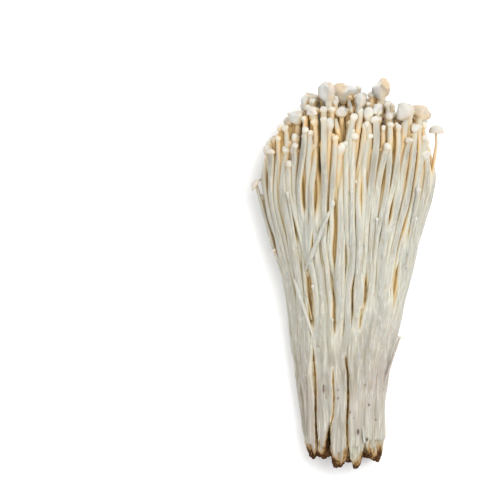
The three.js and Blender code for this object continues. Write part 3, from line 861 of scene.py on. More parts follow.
def cap_rings(m, base, way, radius, draw):
    """The rings of a cap, from the top of the stem over its widest place to the crown."""
    axis = unit(way + np.array([m.lean[0], 0, m.lean[1]]))
    side = unit(np.cross(axis, [0, 0, 1]))
    up = np.cross(side, axis)
    wide = m.cap_radius
    high = m.cap_height
    turned = max(m.brim - 1, 0)
    profile = cap_profile(m, radius, draw)
    lobes = [m.lobes * draw(), m.lobes * draw(), TURN * draw(), TURN * draw()]
    shift = side * (0.35 * wide * (draw() - 0.5)) + up * (0.35 * wide * (draw() - 0.5))
    squeeze = mix(0.86, 1.16, draw())
    angles = np.arange(SIDES) / SIDES * 2 * math.pi
    lumps = 1 + lobes[0] * np.sin(2 * angles + lobes[2]) + lobes[1] * np.sin(3 * angles + lobes[3])
    rings = []
    for r, h in profile:
        share = clamp(h / high, 0, 1)
        middle = base + mix(way, axis, share) * h + shift * share**1.5
        grown = clamp((r - radius) / max(wide - radius, 0.1), 0, 1)
        wider = mix(1, squeeze, grown)
        flat = -np.cos(angles)[:, None] * side * wider + np.sin(angles)[:, None] * up / wider
        # The rim of a cap that has turned up also goes up and down.
        waved = turned * share**2 * lobes[0] * high * np.sin(2 * angles + lobes[3])
        rings.append(middle + flat * (r * mix(1, lumps, grown))[:, None] + axis * waved[:, None])
    crown = base + axis * high * mix(1, HOLLOW, turned) + shift
    return np.array(rings), crown, axis


def stem_radii(m, points, draw):
    """A stem is thickest at the foot and narrows a little under its cap."""
    y = points[:, 1]
    foot = np.clip((-10 - y) / 60, 0, 1)
    neck = np.clip((y - (y[-1] - 5)) / 5, 0, 1)
    bumps = 0.05 * np.sin(y * 2 * math.pi / mix(9, 22, draw()) + TURN * draw())
    return m.radius * (m.stout + 0.1 * foot + mix(-0.16, 0.0, m.brim) * neck**2 + bumps)


def shape_cap(m, draw):
    """How far a mushroom's cap has opened, how lumpy it is, and its size."""
    m.tan_side = 0
    m.brim = 0.7 * draw() ** 2.2
    m.lobes = mix(0.08, 0.3, draw() ** 2)
    m.stout = mix(1.05, 1.32, draw()) if m.tuft.layer > 0 and m.depth > 0.8 else mix(1.0, 1.15, draw())
    ratio = mix(0.45, 1, m.brim)
    lengthened = mix(1.75, 1.2, m.brim) * mix(0.85, 1.15, draw())
    if m.look:
        m.cap_radius, m.cap_height, m.brim, m.lobes, m.stout, m.tan, m.tan_side = m.look[:7]
        m.lean = m.look[7:]
    elif m.fixed is not None and m.shape:
        m.brim, m.lobes, m.tan_side = m.shape
    elif m.fixed is None:
        m.cap_radius = max(mix(m.radius * 1.2, m.cap_radius, ratio), 1.22 * m.radius * m.stout)
        m.cap_height = max(m.cap_height, lengthened * m.cap_radius)


def trimmed(line, length):
    """A line of points without its last stretch of that length."""
    kept = line[np.linalg.norm(line - line[-1], axis=1) > length + 0.6]
    way = unit(line[len(kept)] - kept[-1])
    return np.vstack([kept, kept[-1] + way * max(np.linalg.norm(kept[-1] - line[-1]) - length, 0.3)])


def cap_tan(m, tops, middle):
    """How tan each vertex of a cap's rings is: under and round its edge, where part of the tan is painted
    shade under the cap, or in its hollow, and more on its tan side.
    """
    edge = mix(np.array(TAN_SHUT), np.array(TAN_TURNED), clamp(m.brim - 1, 0, 1))
    aside = (tops[:, :, 0] - middle[:, :, 0]) / m.cap_radius
    shaded = np.clip(1 - 0.5 * abs(m.tan_side) + 1.4 * m.tan_side * aside, 0, 1)
    return edge[:, None] * shaded * mix(0.3, 1, m.tan)


def set_line(m, draw):
    """The line of the whole stem, and the part of it that stands free as a round stem."""
    flat_height = m.cap_height
    shape_cap(m, draw)
    # A cap that is higher than in the solids begins further down its stem.
    m.full_line = trimmed(line_of(m, draw), max(m.cap_height - flat_height, 0) * 0.9)
    m.full_radii = stem_radii(m, m.full_line, draw)
    m.release = clamp(mix(*RELEASE, draw()), m.full_line[0, 1] + 4, m.full_line[-1, 1] - 14)
    kept = m.full_line[:, 1] >= m.release - HIDDEN
    m.line = m.full_line[kept]
    hidden = np.clip((m.release - m.line[:, 1]) / HIDDEN, 0, 1)
    m.radii = m.full_radii[kept] * np.interp(hidden, [0.25, 1], [1, 0.5])
    m.tint = draw()


def add_mushroom(shape, m, draw):
    """A round stem that widens into its cap, as one closed skin."""
    set_line(m, draw)
    way = unit(m.line[-1] - m.line[-2])
    tops, crown, m.axis = cap_rings(m, m.line[-1], way, m.radii[-1], draw)
    stems = rings_round(m.line[:-1], m.radii[:-1], SIDES)
    middle = tops.mean(axis=1, keepdims=True)
    outward = (tops - middle) / np.maximum(np.linalg.norm(tops - middle, axis=2, keepdims=True), 1e-6)
    bumps = noise_at(tops.reshape(-1, 3), (0.75, 0.75, 0.75), 70.0).reshape(len(tops), SIDES, 1)
    growing = (0.24 * m.cap_radius * np.linspace(0, 1, len(tops)) ** 0.5)[:, None, None]
    tops = tops + outward * bumps * growing
    vertices, faces = lofted(np.concatenate([stems, tops]), m.line[0], crown)
    bare = [0.0] * (len(stems) * SIDES)
    cap = bare + np.repeat(CAP_SHARE, SIDES).tolist() + [0.0, 1.0]
    crown_tan = (1.0 if m.brim > 1 else 0.3) * mix(0.3, 1, m.tan)
    tan = bare + cap_tan(m, tops, middle).ravel().tolist() + [0.0, crown_tan]
    shape.add(vertices, faces, tint=m.tint, cap=cap, tan=tan)


# ---- the grown-together part ----

CORE_SHARE = [0.9, 0.88, 0.82, 0.66]
ARC_POINTS = 7
GROWN_VOXEL = {1: 0.42, -1: 0.6}  # for the upper and the lower tufts
LOWEST = 0.02  # the least height of a vertex over the floor
SEAM = 3.0  # how far the grown-together part and the root end go on inside each other
RIDGE_HEIGHT = 1.25  # half of it
OPEN_FROM = -8  # over this height a cleft lies between free stems

# Broad ridges of stems that have grown into one, on the side that faces up: half their width, and x
# and y along them.
RIDGES = [
    (2.0, [(-28.3, 17.8), (-26.6, 6.1), (-24.1, -6.5), (-22, -23.3), (-20.7, -40.1),
          (-18.6, -56.9), (-17.2, -70)]),
    (2.3, [(-21.6, 22.1), (-19.9, 10.3), (-19.9, -6.5), (-19, -23.3), (-17.4, -40.1),
          (-16.1, -56.9), (-15.7, -71)]),
    (1.2, [(-9.4, 23.7), (-13.2, 13.2), (-16.5, 2.7), (-18.6, -7.3), (-19.5, -17.0)]),
    (1.8, [(-9.0, 20.8), (-9.8, 1.9), (-9.8, -12.8), (-10.2, -31.7), (-11.1, -50.6), (-11.5, -69.5)]),
    (2.2, [(-0.6, 22.1), (-3.5, 5.2), (-3.5, -6.5), (-3.9, -23.3), (-3.5, -40.1), (-3.1, -56.9),
          (-3.9, -73)]),
    (1.3, [(1.1, 20.8), (0.3, 5.2), (0.7, -7.3), (1.5, -19.1)]),
    (1.5, [(4.1, 15.3), (3.6, 5.2), (3.2, -6.5), (2.8, -23.3), (2.8, -40.1), (2.8, -56.9), (3.2, -72)]),
    (1.4, [(9.1, 8.2), (9.5, -6.5), (9.9, -19.1), (9.9, -31.7)]),
    (2.2, [(20.4, 22.1), (16.2, 9.4), (12.9, -2.3), (9.9, -13.2), (7.8, -27.5), (7.4, -44.3),
          (7.4, -61), (8.3, -70)]),
    (2.6, [(28, 20.4), (23.8, 8.2), (21.3, -3.6), (17.9, -15.3), (15.4, -27.5), (12.9, -40),
          (11.6, -53), (12, -69)]),
    (1.6, [(-8.1, -29.6), (-8.1, -44.3), (-8.5, -56.9), (-9.8, -69.5)]),
]


def tuft_section(tuft, k, inset):
    """A tuft's section at a level: along its outer side, and back along the split between the layers."""
    a = math.acos(-tuft.start)
    b = math.acos(-tuft.end)
    points = []
    for n in range(ARC_POINTS):
        u = -math.cos(mix(a, b, n / (ARC_POINTS - 1)))
        across = (u - tuft.start) / (tuft.end - tuft.start)
        points.append(place_at(tuft, k, across, 1, inset))
    if tuft.end < 1:
        points.append(place_at(tuft, k, 1, 0, inset))
    if tuft.start > -1:
        points.append(place_at(tuft, k, 0, 0, inset))
    return [kept_in_room(point, tuft, k, 0) for point in points]


def skin_over(tuft, rings):
    """A closed skin over sections of a tuft, whose points go round the other way in the lower layer."""
    rings = [ring if tuft.layer > 0 else ring[::-1] for ring in rings]
    return lofted(np.array(rings), np.mean(rings[0], axis=0), np.mean(rings[-1], axis=0))


def core_of(tuft):
    rings = []
    for k, share in enumerate(CORE_SHARE):
        section = tuft_section(tuft, k, 0)
        mx, mz = middle_of(section)
        rings.append([(mix(mx, x, share), level_y(tuft, k), mix(mz, z, share)) for x, z in section])
    return skin_over(tuft, rings)


def placed(name, data):
    """A new object in the scene."""
    made = bpy.data.objects.new(name, data)
    bpy.context.scene.collection.objects.link(made)
    return made


def remeshed(name, shape, voxel):
    """One even skin over overlapping closed shapes, as vertices and faces."""
    mesh = bpy.data.meshes.new(name)
    mesh.from_pydata([Vector(v) * MM for v in shape.vertices], [], shape.faces)
    holder = placed(name, mesh)
    modifier = holder.modifiers.new("even", "REMESH")
    modifier.mode = "VOXEL"
    modifier.voxel_size = voxel * MM
    made = holder.evaluated_get(bpy.context.evaluated_depsgraph_get()).to_mesh()
    vertices = np.empty(len(made.vertices) * 3)
    made.vertices.foreach_get("co", vertices)
    faces = np.array([tuple(p.vertices) for p in made.polygons])
    bpy.data.objects.remove(holder)
    bpy.data.meshes.remove(mesh)
    return vertices.reshape(-1, 3) * 1000, faces


def summed(at, values, count):
    """The sum of the values that belong to each vertex."""
    return np.stack([np.bincount(at, values[:, axis], count) for axis in range(3)], axis=1)


def smoothed(vertices, faces, rounds):
    """The vertices, moved half of the way to the middle of their neighbours in each round."""
    pairs = np.sort(np.vstack([faces[:, [i, (i + 1) % 4]] for i in range(4)]), axis=1)
    one, other = np.unique(pairs, axis=0).T
    size = len(vertices)
    count = np.bincount(one, minlength=size) + np.bincount(other, minlength=size)
    for _ in range(rounds):
        total = summed(one, vertices[other], size) + summed(other, vertices[one], size)
        vertices = vertices + (total / np.maximum(count, 1)[:, None] - vertices) * 0.5
    return vertices


def normals_of(vertices, faces):
    a, b, c, d = (vertices[faces[:, corner]] for corner in range(4))
    across = np.cross(c - a, d - b)
    total = sum(summed(faces[:, corner], across, len(vertices)) for corner in range(4))
    return total / np.maximum(np.linalg.norm(total, axis=1), 1e-9)[:, None]


def noise_at(points, scales, offset=0.0):
    """Smooth noise from about -1 to 1, with its own scale along x, y and z."""
    return np.array([noise.noise(Vector((x, y, z))) for x, y, z in points * np.array(scales) + offset])


def grooves_of(vertices, faces):
    """How far each vertex lies in a groove between stems, from 0 to 1."""
    evened = smoothed(vertices, faces, 14)
    depth = np.einsum("ij,ij->i", evened - vertices, normals_of(vertices, faces))
    return np.clip(depth / 0.22, 0, 1)


def nearest_tints(tuft, vertices):
    """For each vertex, the tint of the stem that it is nearest to."""
    samples = [(p, m.tint) for m in tuft.mushrooms for p in m.foot]
    tree = kdtree.KDTree(len(samples))
    for n, (point, _) in enumerate(samples):
        tree.insert(point, n)
    tree.balance()
    return [samples[tree.find(v)[1]][1] for v in vertices]


def grown_stem(m):
    """The lower part of a stem, thick enough to grow into its neighbours."""
    line = m.full_line[m.full_line[:, 1] <= m.release + 3]
    m.foot = line
    if len(line) < 3:
        return None
    swell = np.interp(m.release - line[:, 1], [-3, 4, 14, 40], [0.5, 0.97, 1.08, 1.16])
    return tube(line, m.full_radii[:len(line)] * swell, 10)


def grown_ridge(wide, places):
    """A broad ridge along the side that faces up, which fades in at both ends."""
    line = through([(x, y, top_at(x, y) - RIDGE_HEIGHT) for x, y in reversed(places)], 2.0)
    ends = np.minimum(line[:, 1] - line[0, 1] + 4, line[-1, 1] - line[:, 1])
    radii = math.sqrt(wide * RIDGE_HEIGHT) * np.interp(ends, [0, 9], [0.3, 1])
    line[:, 2] -= np.interp(ends, [0, 9], [0.9, 0])
    return tube(line, radii, 14, math.sqrt(wide / RIDGE_HEIGHT))


def gap_stem(wide, darkness, path):
    """A stem that shows at the bottom of a cleft."""
    radius = 0.9 * wide + 0.4
    under = 1.2 + 0.9 * darkness + radius
    line = through([(x, y, top_at(x, y) - under) for x, y in reversed(path)], 2.0)
    ends = np.minimum(line[:, 1] - line[0, 1], line[-1, 1] - line[:, 1])
    line[:, 2] -= np.interp(ends, [0, 4], [1.2, 0])
    return tube(line, radius * np.interp(ends, [0, 4], [0.6, 1]), 12)


def path_distance(points, path):
    """How far each point is from a line through places, and how far along the line it is nearest."""
    path = np.array(path)
    best = np.full(len(points), 1e9)
    along = np.zeros(len(points))
    done = 0.0
    for start, end in zip(path[:-1], path[1:]):
        way = end - start
        length = np.linalg.norm(way)
        t = np.clip(((points - start) @ way) / length**2, 0, 1)
        away = np.linalg.norm(points - start - t[:, None] * way, axis=1)
        nearer = away < best
        best[nearer] = away[nearer]
        along[nearer] = done + t[nearer] * length
        done += length
    return best, along, done


def cleft_values(vertices, normals):
    """How far each vertex sinks in a cleft, and how much shade is painted on it there."""
    sunk = np.zeros(len(vertices))
    dark = np.zeros(len(vertices))
    facing = np.clip(normals[:, 2] * 2.5 + 0.2, 0, 1)
    shaded = np.clip(normals[:, 2] * 2.5 + 1.3, 0, 1)
    for n, (wide, depth, darkness, path) in enumerate(CLEFTS):
        away, along, length = path_distance(vertices[:, :2], path)
        ends = np.clip(np.minimum(along, length - along) / min(5.0, 0.4 * length), 0, 1)
        uneven = 1 + 0.3 * np.sin(along * 1.3 + 2 * n) * np.sin(along * 0.47 + n)
        share = np.exp(-((away / (wide * uneven)) ** 2)) * np.sqrt(ends)
        sunk = np.maximum(sunk, depth * share * facing)
        dark = np.maximum(dark, mix(0.45, 1, darkness) * share * shaded)
    return sunk, dark


def draft_of(tuft, n, tufts):
    """A tuft's core, the stems that have grown into it and its root end, as closed shapes that overlap."""
    draft = Shape()
    draft.add(*core_of(tuft))
    for m in tuft.mushrooms:
        stem = grown_stem(m)
        if stem:
            draft.add(*stem)
    for wide, places in RIDGES if tuft.layer > 0 else []:
        if owner_of(places[len(places) // 2], tufts) is tuft:
            draft.add(*grown_ridge(wide, places))
    draft.add(*root_core(tuft, n + ROOT_SEED))
    torn_ends(tuft, draft, draws_from(n + TORN_SEED))
    return draft


def roughened(tuft, vertices, normals):
    """The vertices pushed in and out: a slight wander and fibres on the flesh, and lumps on the torn end."""
    root_y, _, tip_y = tuft.root
    torn = np.clip((root_y - vertices[:, 1]) / (root_y - tip_y), 0, 1)
    lumps = noise_at(vertices, (0.4, 0.3, 0.4)) + 0.7 * noise_at(vertices, (1.1, 0.8, 1.1), 9.0)
    wander = 0.42 * noise_at(vertices, (0.16, 0.05, 0.16))
    fibres = 0.3 * noise_at(vertices, (0.7, 0.04, 0.7), 40.0)
    low = np.interp(vertices[:, 1], [-72, -30, 20], [1, 1, 0.2])
    pushed = (wander + fibres) * low * (1 - torn) + (0.75 * lumps - 0.3) * torn
    return vertices + normals * pushed[:, None]


def grown_skin(tuft, n, tufts):
    """One even skin over a tuft's draft, with its clefts cut."""
    vertices, faces = remeshed("grown", draft_of(tuft, n, tufts), GROWN_VOXEL[tuft.layer])
    vertices = smoothed(vertices, faces, 4 if tuft.layer > 0 else 2)
    normals = normals_of(vertices, faces)
    vertices = roughened(tuft, vertices, normals)
    sunk, cleft = cleft_values(vertices, normals)
    if tuft.layer > 0:
        vertices[:, 2] -= sunk
    vertices[:, 1] = np.maximum(vertices[:, 1], tuft.root[2] - TIP_PAST)
    vertices[:, 2] = np.maximum(vertices[:, 2], LOWEST)
    normals = normals_of(vertices, faces)
    grooves = grooves_of(vertices, faces)
    tints = np.array(nearest_tints(tuft, vertices))
    stain_and_shade = stain_values(tuft, vertices, normals, grooves)
    return SimpleNamespace(
        vertices=vertices, faces=faces, normals=normals,
        values={"tint": tints, "groove": grooves, "stain_and_shade": stain_and_shade, "cleft": cleft},
    )


def opening_rings(faces):
    """The rings of vertices round the openings of a skin."""
    starts = faces.ravel()
    ends = np.roll(faces, -1, axis=1).ravel()
    count = faces.max() + 1
    open_edges = ~np.isin(starts * count + ends, ends * count + starts)
    following = dict(zip(ends[open_edges].tolist(), starts[open_edges].tolist()))
    rings = []
    while following:
        ring = [next(iter(following))]
        while ring[-1] in following:
            ring.append(following.pop(ring[-1]))
        rings.append(ring[:-1])
    return rings


def side_of(skin, border, above):
    """The part of a skin above or below a border, as a closed shape.

    It goes on past the border for a little and sinks there, under the part on the other side.
    """
    past = (border - skin.vertices[:, 1]) * (1 if above else -1)
    sunk = skin.vertices - skin.normals * (0.14 * np.clip(past, 0, None))[:, None]
    kept = skin.faces[(past[skin.faces] < SEAM).all(axis=1)]
    used, faces = np.unique(kept, return_inverse=True)
    faces = faces.reshape(-1, 4)
    vertices = sunk[used]
    values = {name: numbers[used] for name, numbers in skin.values.items()}
    shape = Shape()
    shape.add(vertices.tolist(), faces.tolist(), **values)
    for ring in opening_rings(faces):
        middle = vertices[ring].mean(axis=0)
        last = len(ring)
        start = len(shape.vertices)
        shape.add([tuple(middle)], [])
        shape.faces.extend((ring[i], ring[(i + 1) % last], start) for i in range(last))
    return shape


def spot_distance(vertices, x, y, wide, long):
    """How far vertices are from the middle of a spot, as a share of its size, squared."""
    return ((vertices[:, 0] - x) / wide) ** 2 + ((vertices[:, 1] - y) / long) ** 2


def stain_values(tuft, vertices, normals, grooves):
    """From the pale foot, 0, to the torn tip, 1. It goes further, as painted shade, on surfaces that face
    sideways and in the grooves.
    """
    along = np.clip(1 - (vertices[:, 1] - tuft.root[2]) / 13, 0, 1)
    sides = 1 - np.abs(normals[:, 2])
    stain_and_shade = 0.95 * along**2.1 + (0.95 * sides + 0.35 * grooves) * along**0.8
    if tuft.layer > 0:
        for *spot, more in STAINS:
            stain_and_shade += more * np.exp(-spot_distance(vertices, *spot))
    return np.clip(stain_and_shade, 0, 1.4)


# ---- root ends ----

ROOT_PROFILE = [(1, 0.3), (0.82, 0.62), (0.55, 0.86), (0.25, 1), (0, 0.94)]
ROOT_LUMPS = (-0.16, 0.06)
ROOT_SEED = 50
TORN_SEED = 150
ROOT_BORDER = 0.3  # how far under its tuft's own end a root end begins
TIP_PAST = 0.3  # how far a torn end may go past its tip


def root_core(tuft, seed):
    """The lumpy plug of the solids."""
    draw = draws_from(seed)
    root_y, tip_x, tip_y = tuft.root
    section = tuft_section(tuft, 0, 0.3)
    mx, mz = middle_of(section)
    rings = []
    for along, share in ROOT_PROFILE:
        ring = []
        for x, z in section:
            wide = share * (1 + (mix(*ROOT_LUMPS, draw()) if along > 0 else 0))
            towards_tip = (tip_x - mx) * along * along
            px, pz = kept_in_room([mix(mx, x, wide) + towards_tip, mix(mz, z, wide)], tuft, 0, 0)
            ring.append((px, mix(root_y - TUFT_GAP, tip_y, along), pz))
        rings.append(ring)
    return skin_over(tuft, rings)


def torn_ends(tuft, draft, draw):
    """The feet of the stems go on into the root end and break off at different lengths."""
    root_y, tip_x, tip_y = tuft.root
    for m in tuft.mushrooms:
        if m.level > 0:
            continue
        x, z = m.path[0]
        length = mix(0.3, 0.98, draw()) * (root_y - tip_y)
        far = [mix(x, tip_x, 0.4), root_y - length, mix(z, HEIGHT[0] / 2 + tuft.layer * 3, 0.2)]
        line = through([(x, root_y + 2.5, z), (x, root_y - length * 0.4, z), far], 1.2)
        end = mix(0.55, 0.95, draw())
        radii = m.radius * np.interp(line[:, 1], [far[1], root_y - 1, root_y + 2.5], [end, 1.1, 0.7])
        draft.add(*tube(line, radii, 8))


# ---- how crowded each place is ----

GRID_PITCH = 0.8
CROWD_REACH = 1.9
# The share deep inside the bunch, at heights along it. Fewer and fewer stems reach the places higher up.
FULL_CROWD = ([-10, 10, 30, 47, 62, 76], [0.85, 0.8, 0.72, 0.62, 0.54, 0.5])
GRID_CORNER = np.array([LEFT[-1] - 14, -92.0, -8.0])
GRID_CELLS = (124, 230, 76)


class Crowding:
    """How full of stems the space round any point is, as a share."""

    def __init__(self, tufts):
        points = []
        radii = []
        for m in (m for tuft in tufts for m in tuft.mushrooms):
            steps = through(stops_of(m), GRID_PITCH)
            cap = m.line[-1] + m.axis * m.cap_height * 0.5
            points += [steps, cap[None, :]]
            radii += [m.radius] * len(steps) + [min(m.cap_radius * 0.9, 1.6)]
        self.share = self.blurred(self.filled(np.vstack(points), np.array(radii)))

    def filled(self, points, radii):
        """A grid with 1 in every cell whose middle is in a stem."""
        grid = np.zeros(GRID_CELLS, np.float32)
        cells = np.floor((points - GRID_CORNER) / GRID_PITCH).astype(int)
        for step in product(range(-4, 5), repeat=3):
            cell = cells + step
            middle = (cell + 0.5) * GRID_PITCH + GRID_CORNER
            cell = cell[np.linalg.norm(middle - points, axis=1) <= radii]
            cell = cell[np.all((cell >= 0) & (cell < GRID_CELLS), axis=1)]
            grid[tuple(cell.T)] = 1
        return grid

    def blurred(self, grid):
        spread = np.fft.rfftn(grid)
        for axis, count in enumerate(GRID_CELLS):
            frequencies = np.fft.rfftfreq if axis == 2 else np.fft.fftfreq
            fall = np.exp(-2 * (math.pi * CROWD_REACH * frequencies(count, GRID_PITCH)) ** 2)
            spread = spread * np.moveaxis(fall[:, None, None], 0, axis)
        return np.fft.irfftn(spread, s=GRID_CELLS)

    def at(self, points):
        place = np.clip((points - GRID_CORNER) / GRID_PITCH - 0.5, 0, np.array(GRID_CELLS) - 1.001)
        cell = place.astype(int)
        part = place - cell
        total = np.zeros(len(points))
        for corner in product((0, 1), repeat=3):
            weight = np.prod(np.where(corner, part, 1 - part), axis=1)
            total += weight * self.share[tuple((cell + corner).T)]
        return total


# ---- pieces ----

# Places where the torn ends are browner, on the side that faces up: x and y, half their width and length,
# and by how much.
STAINS = [
    (-16.9, -74.6, 1.4, 3.4, 0.3),
    (-11.1, -77.0, 2.6, 1.6, 0.3),
    (-8.9, -71.0, 1.5, 5.0, 0.75),
    (-6.4, -78.3, 1.7, 2.3, 0.36),
    (-1.0, -74.6, 1.4, 3.2, 0.36),
    (5.3, -74.6, 0.9, 3.0, 0.21),
    (8.3, -75.4, 1.0, 2.6, 0.36),
    (13.3, -75.8, 1.3, 3.6, 0.24),
]

# Dark specks on the foot, on the side that faces up: x, y and half their width and length.
SPECKS = [
    (4.1, -66.1, 0.55, 1.2),
    (7.9, -69.3, 0.5, 0.75),
    (8.7, -54.8, 0.42, 0.55),
    (0.7, -57.8, 0.38, 0.45),
    (7.0, -46.4, 0.32, 0.36),
    (-4.3, -48.5, 0.38, 0.38),
    (-4.3, -51.9, 0.44, 0.44),
    (11.6, -61.1, 0.35, 0.42),
    (-10.4, -48.0, 0.35, 1.9),
    (2.4, -60.2, 0.22, 0.3),
]

# Gaps that get more warm painted shade than the others, on the side that faces up: x and y, half their width
# and length, and by how much.
GAP_SHADE_SPOTS = [
    (-19.5, 34.2, 1.3, 9.0, 0.6),
    (-14.0, 33.4, 1.8, 8.5, 0.5),
    (-5.6, 18.7, 1.2, 18.0, 0.6),
    (5.3, 35.0, 1.2, 11.0, 0.8),
    (14.6, 39.9, 0.9, 5.0, 0.5),
    (17.5, 27.0, 1.1, 8.0, 0.8),
    (23.4, 16.2, 1.0, 5.0, 0.4),
    (19.6, -2.3, 1.0, 9.0, 0.7),
    (-15.3, -9.9, 2.2, 12.0, 0.8),
    (6.8, -6.9, 0.9, 5.5, 0.7),
    (-4.8, 60.3, 1.9, 5.0, 1.4),
    (-29.0, 57.0, 2.5, 5.0, 0.8),
    (-17.5, 64.0, 3.5, 3.5, 0.7),
    (-24.0, 60.5, 2.0, 4.0, 0.9),
    (9.5, 73.0, 2.5, 3.0, 0.4),
    (0.7, 70.8, 1.4, 4.5, 1.2),
    (18.8, 54.8, 2.0, 5.0, 0.5),
    (-12.7, 71.2, 1.0, 3.0, 1.1),
    (-15.3, 12.6, 0.9, 4.5, 0.6),
    (-6.4, -18.9, 1.0, 9.0, 0.5),
    (4.9, -19.0, 0.8, 4.5, 0.5),
    (24.1, 20.0, 2.0, 4.5, 0.5),
    (-11.9, 54.5, 1.3, 11.0, 1.0),
    (2.2, -8.6, 0.9, 7.0, 0.7),
    (-22.1, 19.5, 1.0, 6.0, 0.6),
    (-8.0, 25.0, 0.8, 12.0, 0.5),
]

# Over this height the highest stems are flatter on top, by this share.
FLATTER_FROM = 40.5
FLATTER = 0.45
CROWD_OUT = 1.1  # how far out from the skin it is asked how crowded it is there


def speck_values(vertices, layer):
    values = np.zeros(len(vertices))
    for spot in SPECKS if layer > 0 else []:
        values = np.maximum(values, np.clip(1.6 - spot_distance(vertices, *spot), 0, 1))
    return values


# How much the painted shade in the gaps is raised at each vertex.
def gap_shade_at(vertices, layer):
    more_shade = np.ones(len(vertices))
    for *spot, more in GAP_SHADE_SPOTS if layer > 0 else []:
        more_shade += 1.5 * more * np.exp(-spot_distance(vertices, *spot))
    return more_shade


def made_piece(name, shape, material, crowding, layer):
    """A Blender object from a shape, in metres, with its attributes."""
    mesh = bpy.data.meshes.new(name)
    vertices = np.array(shape.vertices, float)
    over = np.maximum(vertices[:, 2] - FLATTER_FROM, 0)
    vertices[:, 2] = np.maximum(vertices[:, 2] - over * FLATTER, LOWEST)
    mesh.from_pydata((vertices * MM).tolist(), [], shape.faces)
    mesh.polygons.foreach_set("use_smooth", [True] * len(mesh.polygons))
    mesh.update()
    normals = np.empty(len(vertices) * 3)
    mesh.vertices.foreach_get("normal", normals)
    outside = vertices + normals.reshape(-1, 3) * CROWD_OUT
    # How crowded the space just outside the skin is sets the painted shade in the gaps between stems and a
    # painted highlight at their rims.
    crowd = crowding.at(outside) / np.interp(vertices[:, 1], *FULL_CROWD)
    values = dict(shape.values)
    values["crowd"] = crowd * gap_shade_at(vertices, layer)
    values["speck"] = speck_values(vertices, layer)
    for label, numbers in values.items():
        attribute = mesh.attributes.new(label, "FLOAT", "POINT")
        attribute.data.foreach_set("value", np.asarray(numbers, np.float32))
    mesh.materials.append(material)
    return placed(name, mesh)


def surface_height(tufts, x, y):
    """The height of the highest stem at a place, seen from above."""
    best = 0
    for tuft in tufts:
        for m in tuft.mushrooms:
            line = m.full_line
            if not line[0][1] <= y <= line[-1][1]:
                continue
            mx = np.interp(y, line[:, 1], line[:, 0])
            mz = np.interp(y, line[:, 1], line[:, 2])
            away = abs(mx - x)
            if away < m.radius:
                best = max(best, mz + math.sqrt(m.radius**2 - away**2))
    return best


def add_pins(shape, tufts, draw):
    """Pins lie on the stems under them and end in a small head."""
    for x, y, head, length, sideways in PINS:
        stops = []
        for share in (0, 0.4, 0.7, 0.9, 1):
            px = x + sideways * (1 - share)
            py = y - length * (1 - share)
            highest = max(surface_height(tufts, px + step, py) for step in (-0.8, 0, 0.8))
            stops.append((px, py, highest + mix(-0.5, head * 0.7, share)))
        pin = SimpleNamespace(cap_radius=head, cap_height=head * 2.2, lean=(0, 0.4), brim=0.3, lobes=0.1)
        line = through(stops, 1.5)
        radii = head * 0.62 * np.linspace(1.1, 0.9, len(line))
        tops, crown, _ = cap_rings(pin, line[-1], unit(line[-1] - line[-2]), radii[-1], draw)
        rings = np.concatenate([rings_round(line[:-1], radii[:-1], SIDES), tops])
        cap = np.repeat([0.0] * (len(line) - 1) + [0.8] * len(tops), SIDES).tolist() + [0.0, 0.8]
        shape.add(*lofted(rings, line[0], crown), tint=draw(), cap=cap)


def add_crossing(shape, tufts):
    """Stems that lie over others and sink between them at both ends."""
    for (x0, y0), (x1, y1), radius, white in CROSSING:
        stops = []
        for share in np.linspace(0, 1, 6):
            x = mix(x0, x1, share)
            y = mix(y0, y1, share)
            highest = max(surface_height(tufts, x + step, y) for step in (-1, 0, 1))
            sink = 1.3 * radius * abs(2 * share - 1) ** 4
            stops.append((x, y, max(highest, 3) + radius * 0.5 - sink))
        line = through(stops if y1 > y0 else stops[::-1], 1.5)
        radii = radius * (1 - 0.5 * np.abs(np.linspace(-1, 1, len(line))) ** 3)
        shape.add(*tube(line, radii, 10), tint=0.9, cap=white)


# ---- materials ----


class Nodes:
    """A new material, with a few short calls for building it out of nodes."""

    def __init__(self, name):
        self.material = bpy.data.materials.new(name)
        self.material.use_nodes = True
        self.tree = self.material.node_tree
        self.tree.nodes.clear()
        self.place = self.add("ShaderNodeTexCoord").outputs["Object"]

    def add(self, kind, inputs=None, **settings):
        """A node with its settings. Each input gets a value or is linked to another node's output."""
        node = self.tree.nodes.new(kind)
        for name, value in settings.items():
            setattr(node, name, value)
        for name, value in (inputs or {}).items():
            if isinstance(value, (int, float, tuple)):
                node.inputs[name].default_value = value
            else:
                self.tree.links.new(value, node.inputs[name])
        return node

    def attribute(self, name):
        return self.add("ShaderNodeAttribute", attribute_name=name).outputs["Fac"]

    def noise(self, scale, stretch, detail=3.0, rough=0.55):
        """Noise in object space, stretched by the given factors along x, y and z."""
        mapping = self.add("ShaderNodeMapping", {"Scale": stretch, "Vector": self.place})
        look = {"Scale": scale, "Detail": detail, "Roughness": rough, "Vector": mapping.outputs["Vector"]}
        return self.add("ShaderNodeTexNoise", look).outputs["Fac"]

    def ramp(self, value, low, high, to_low=0.0, to_high=1.0):
        ends = {"From Min": low, "From Max": high, "To Min": to_low, "To Max": to_high, "Value": value}
        return self.add("ShaderNodeMapRange", ends, interpolation_type="SMOOTHSTEP").outputs["Result"]

    def math(self, operation, a, b):
        return self.add("ShaderNodeMath", {0: a, 1: b}, operation=operation).outputs["Value"]

    def scaled(self, name, share):
        return self.math("MULTIPLY", self.attribute(name), share)

    def blend(self, share, a, b):
        """A colour between two others. A mix node's colours are its inputs 6 and 7 and its output 2."""
        inputs = {"Factor": share, 6: a, 7: b}
        return self.add("ShaderNodeMix", inputs, data_type="RGBA").outputs[2]

    def over(self, colour, tone, value, low, high, share):
        """A colour with a share of a tone laid over it where a value goes from low to high."""
        return self.blend(self.ramp(value, low, high, 0, share), colour, tone)

    def finish(self, inputs):
        shader = self.add("ShaderNodeBsdfPrincipled", inputs)
        self.add("ShaderNodeOutputMaterial", {"Surface": shader.outputs["BSDF"]})
        return self.material


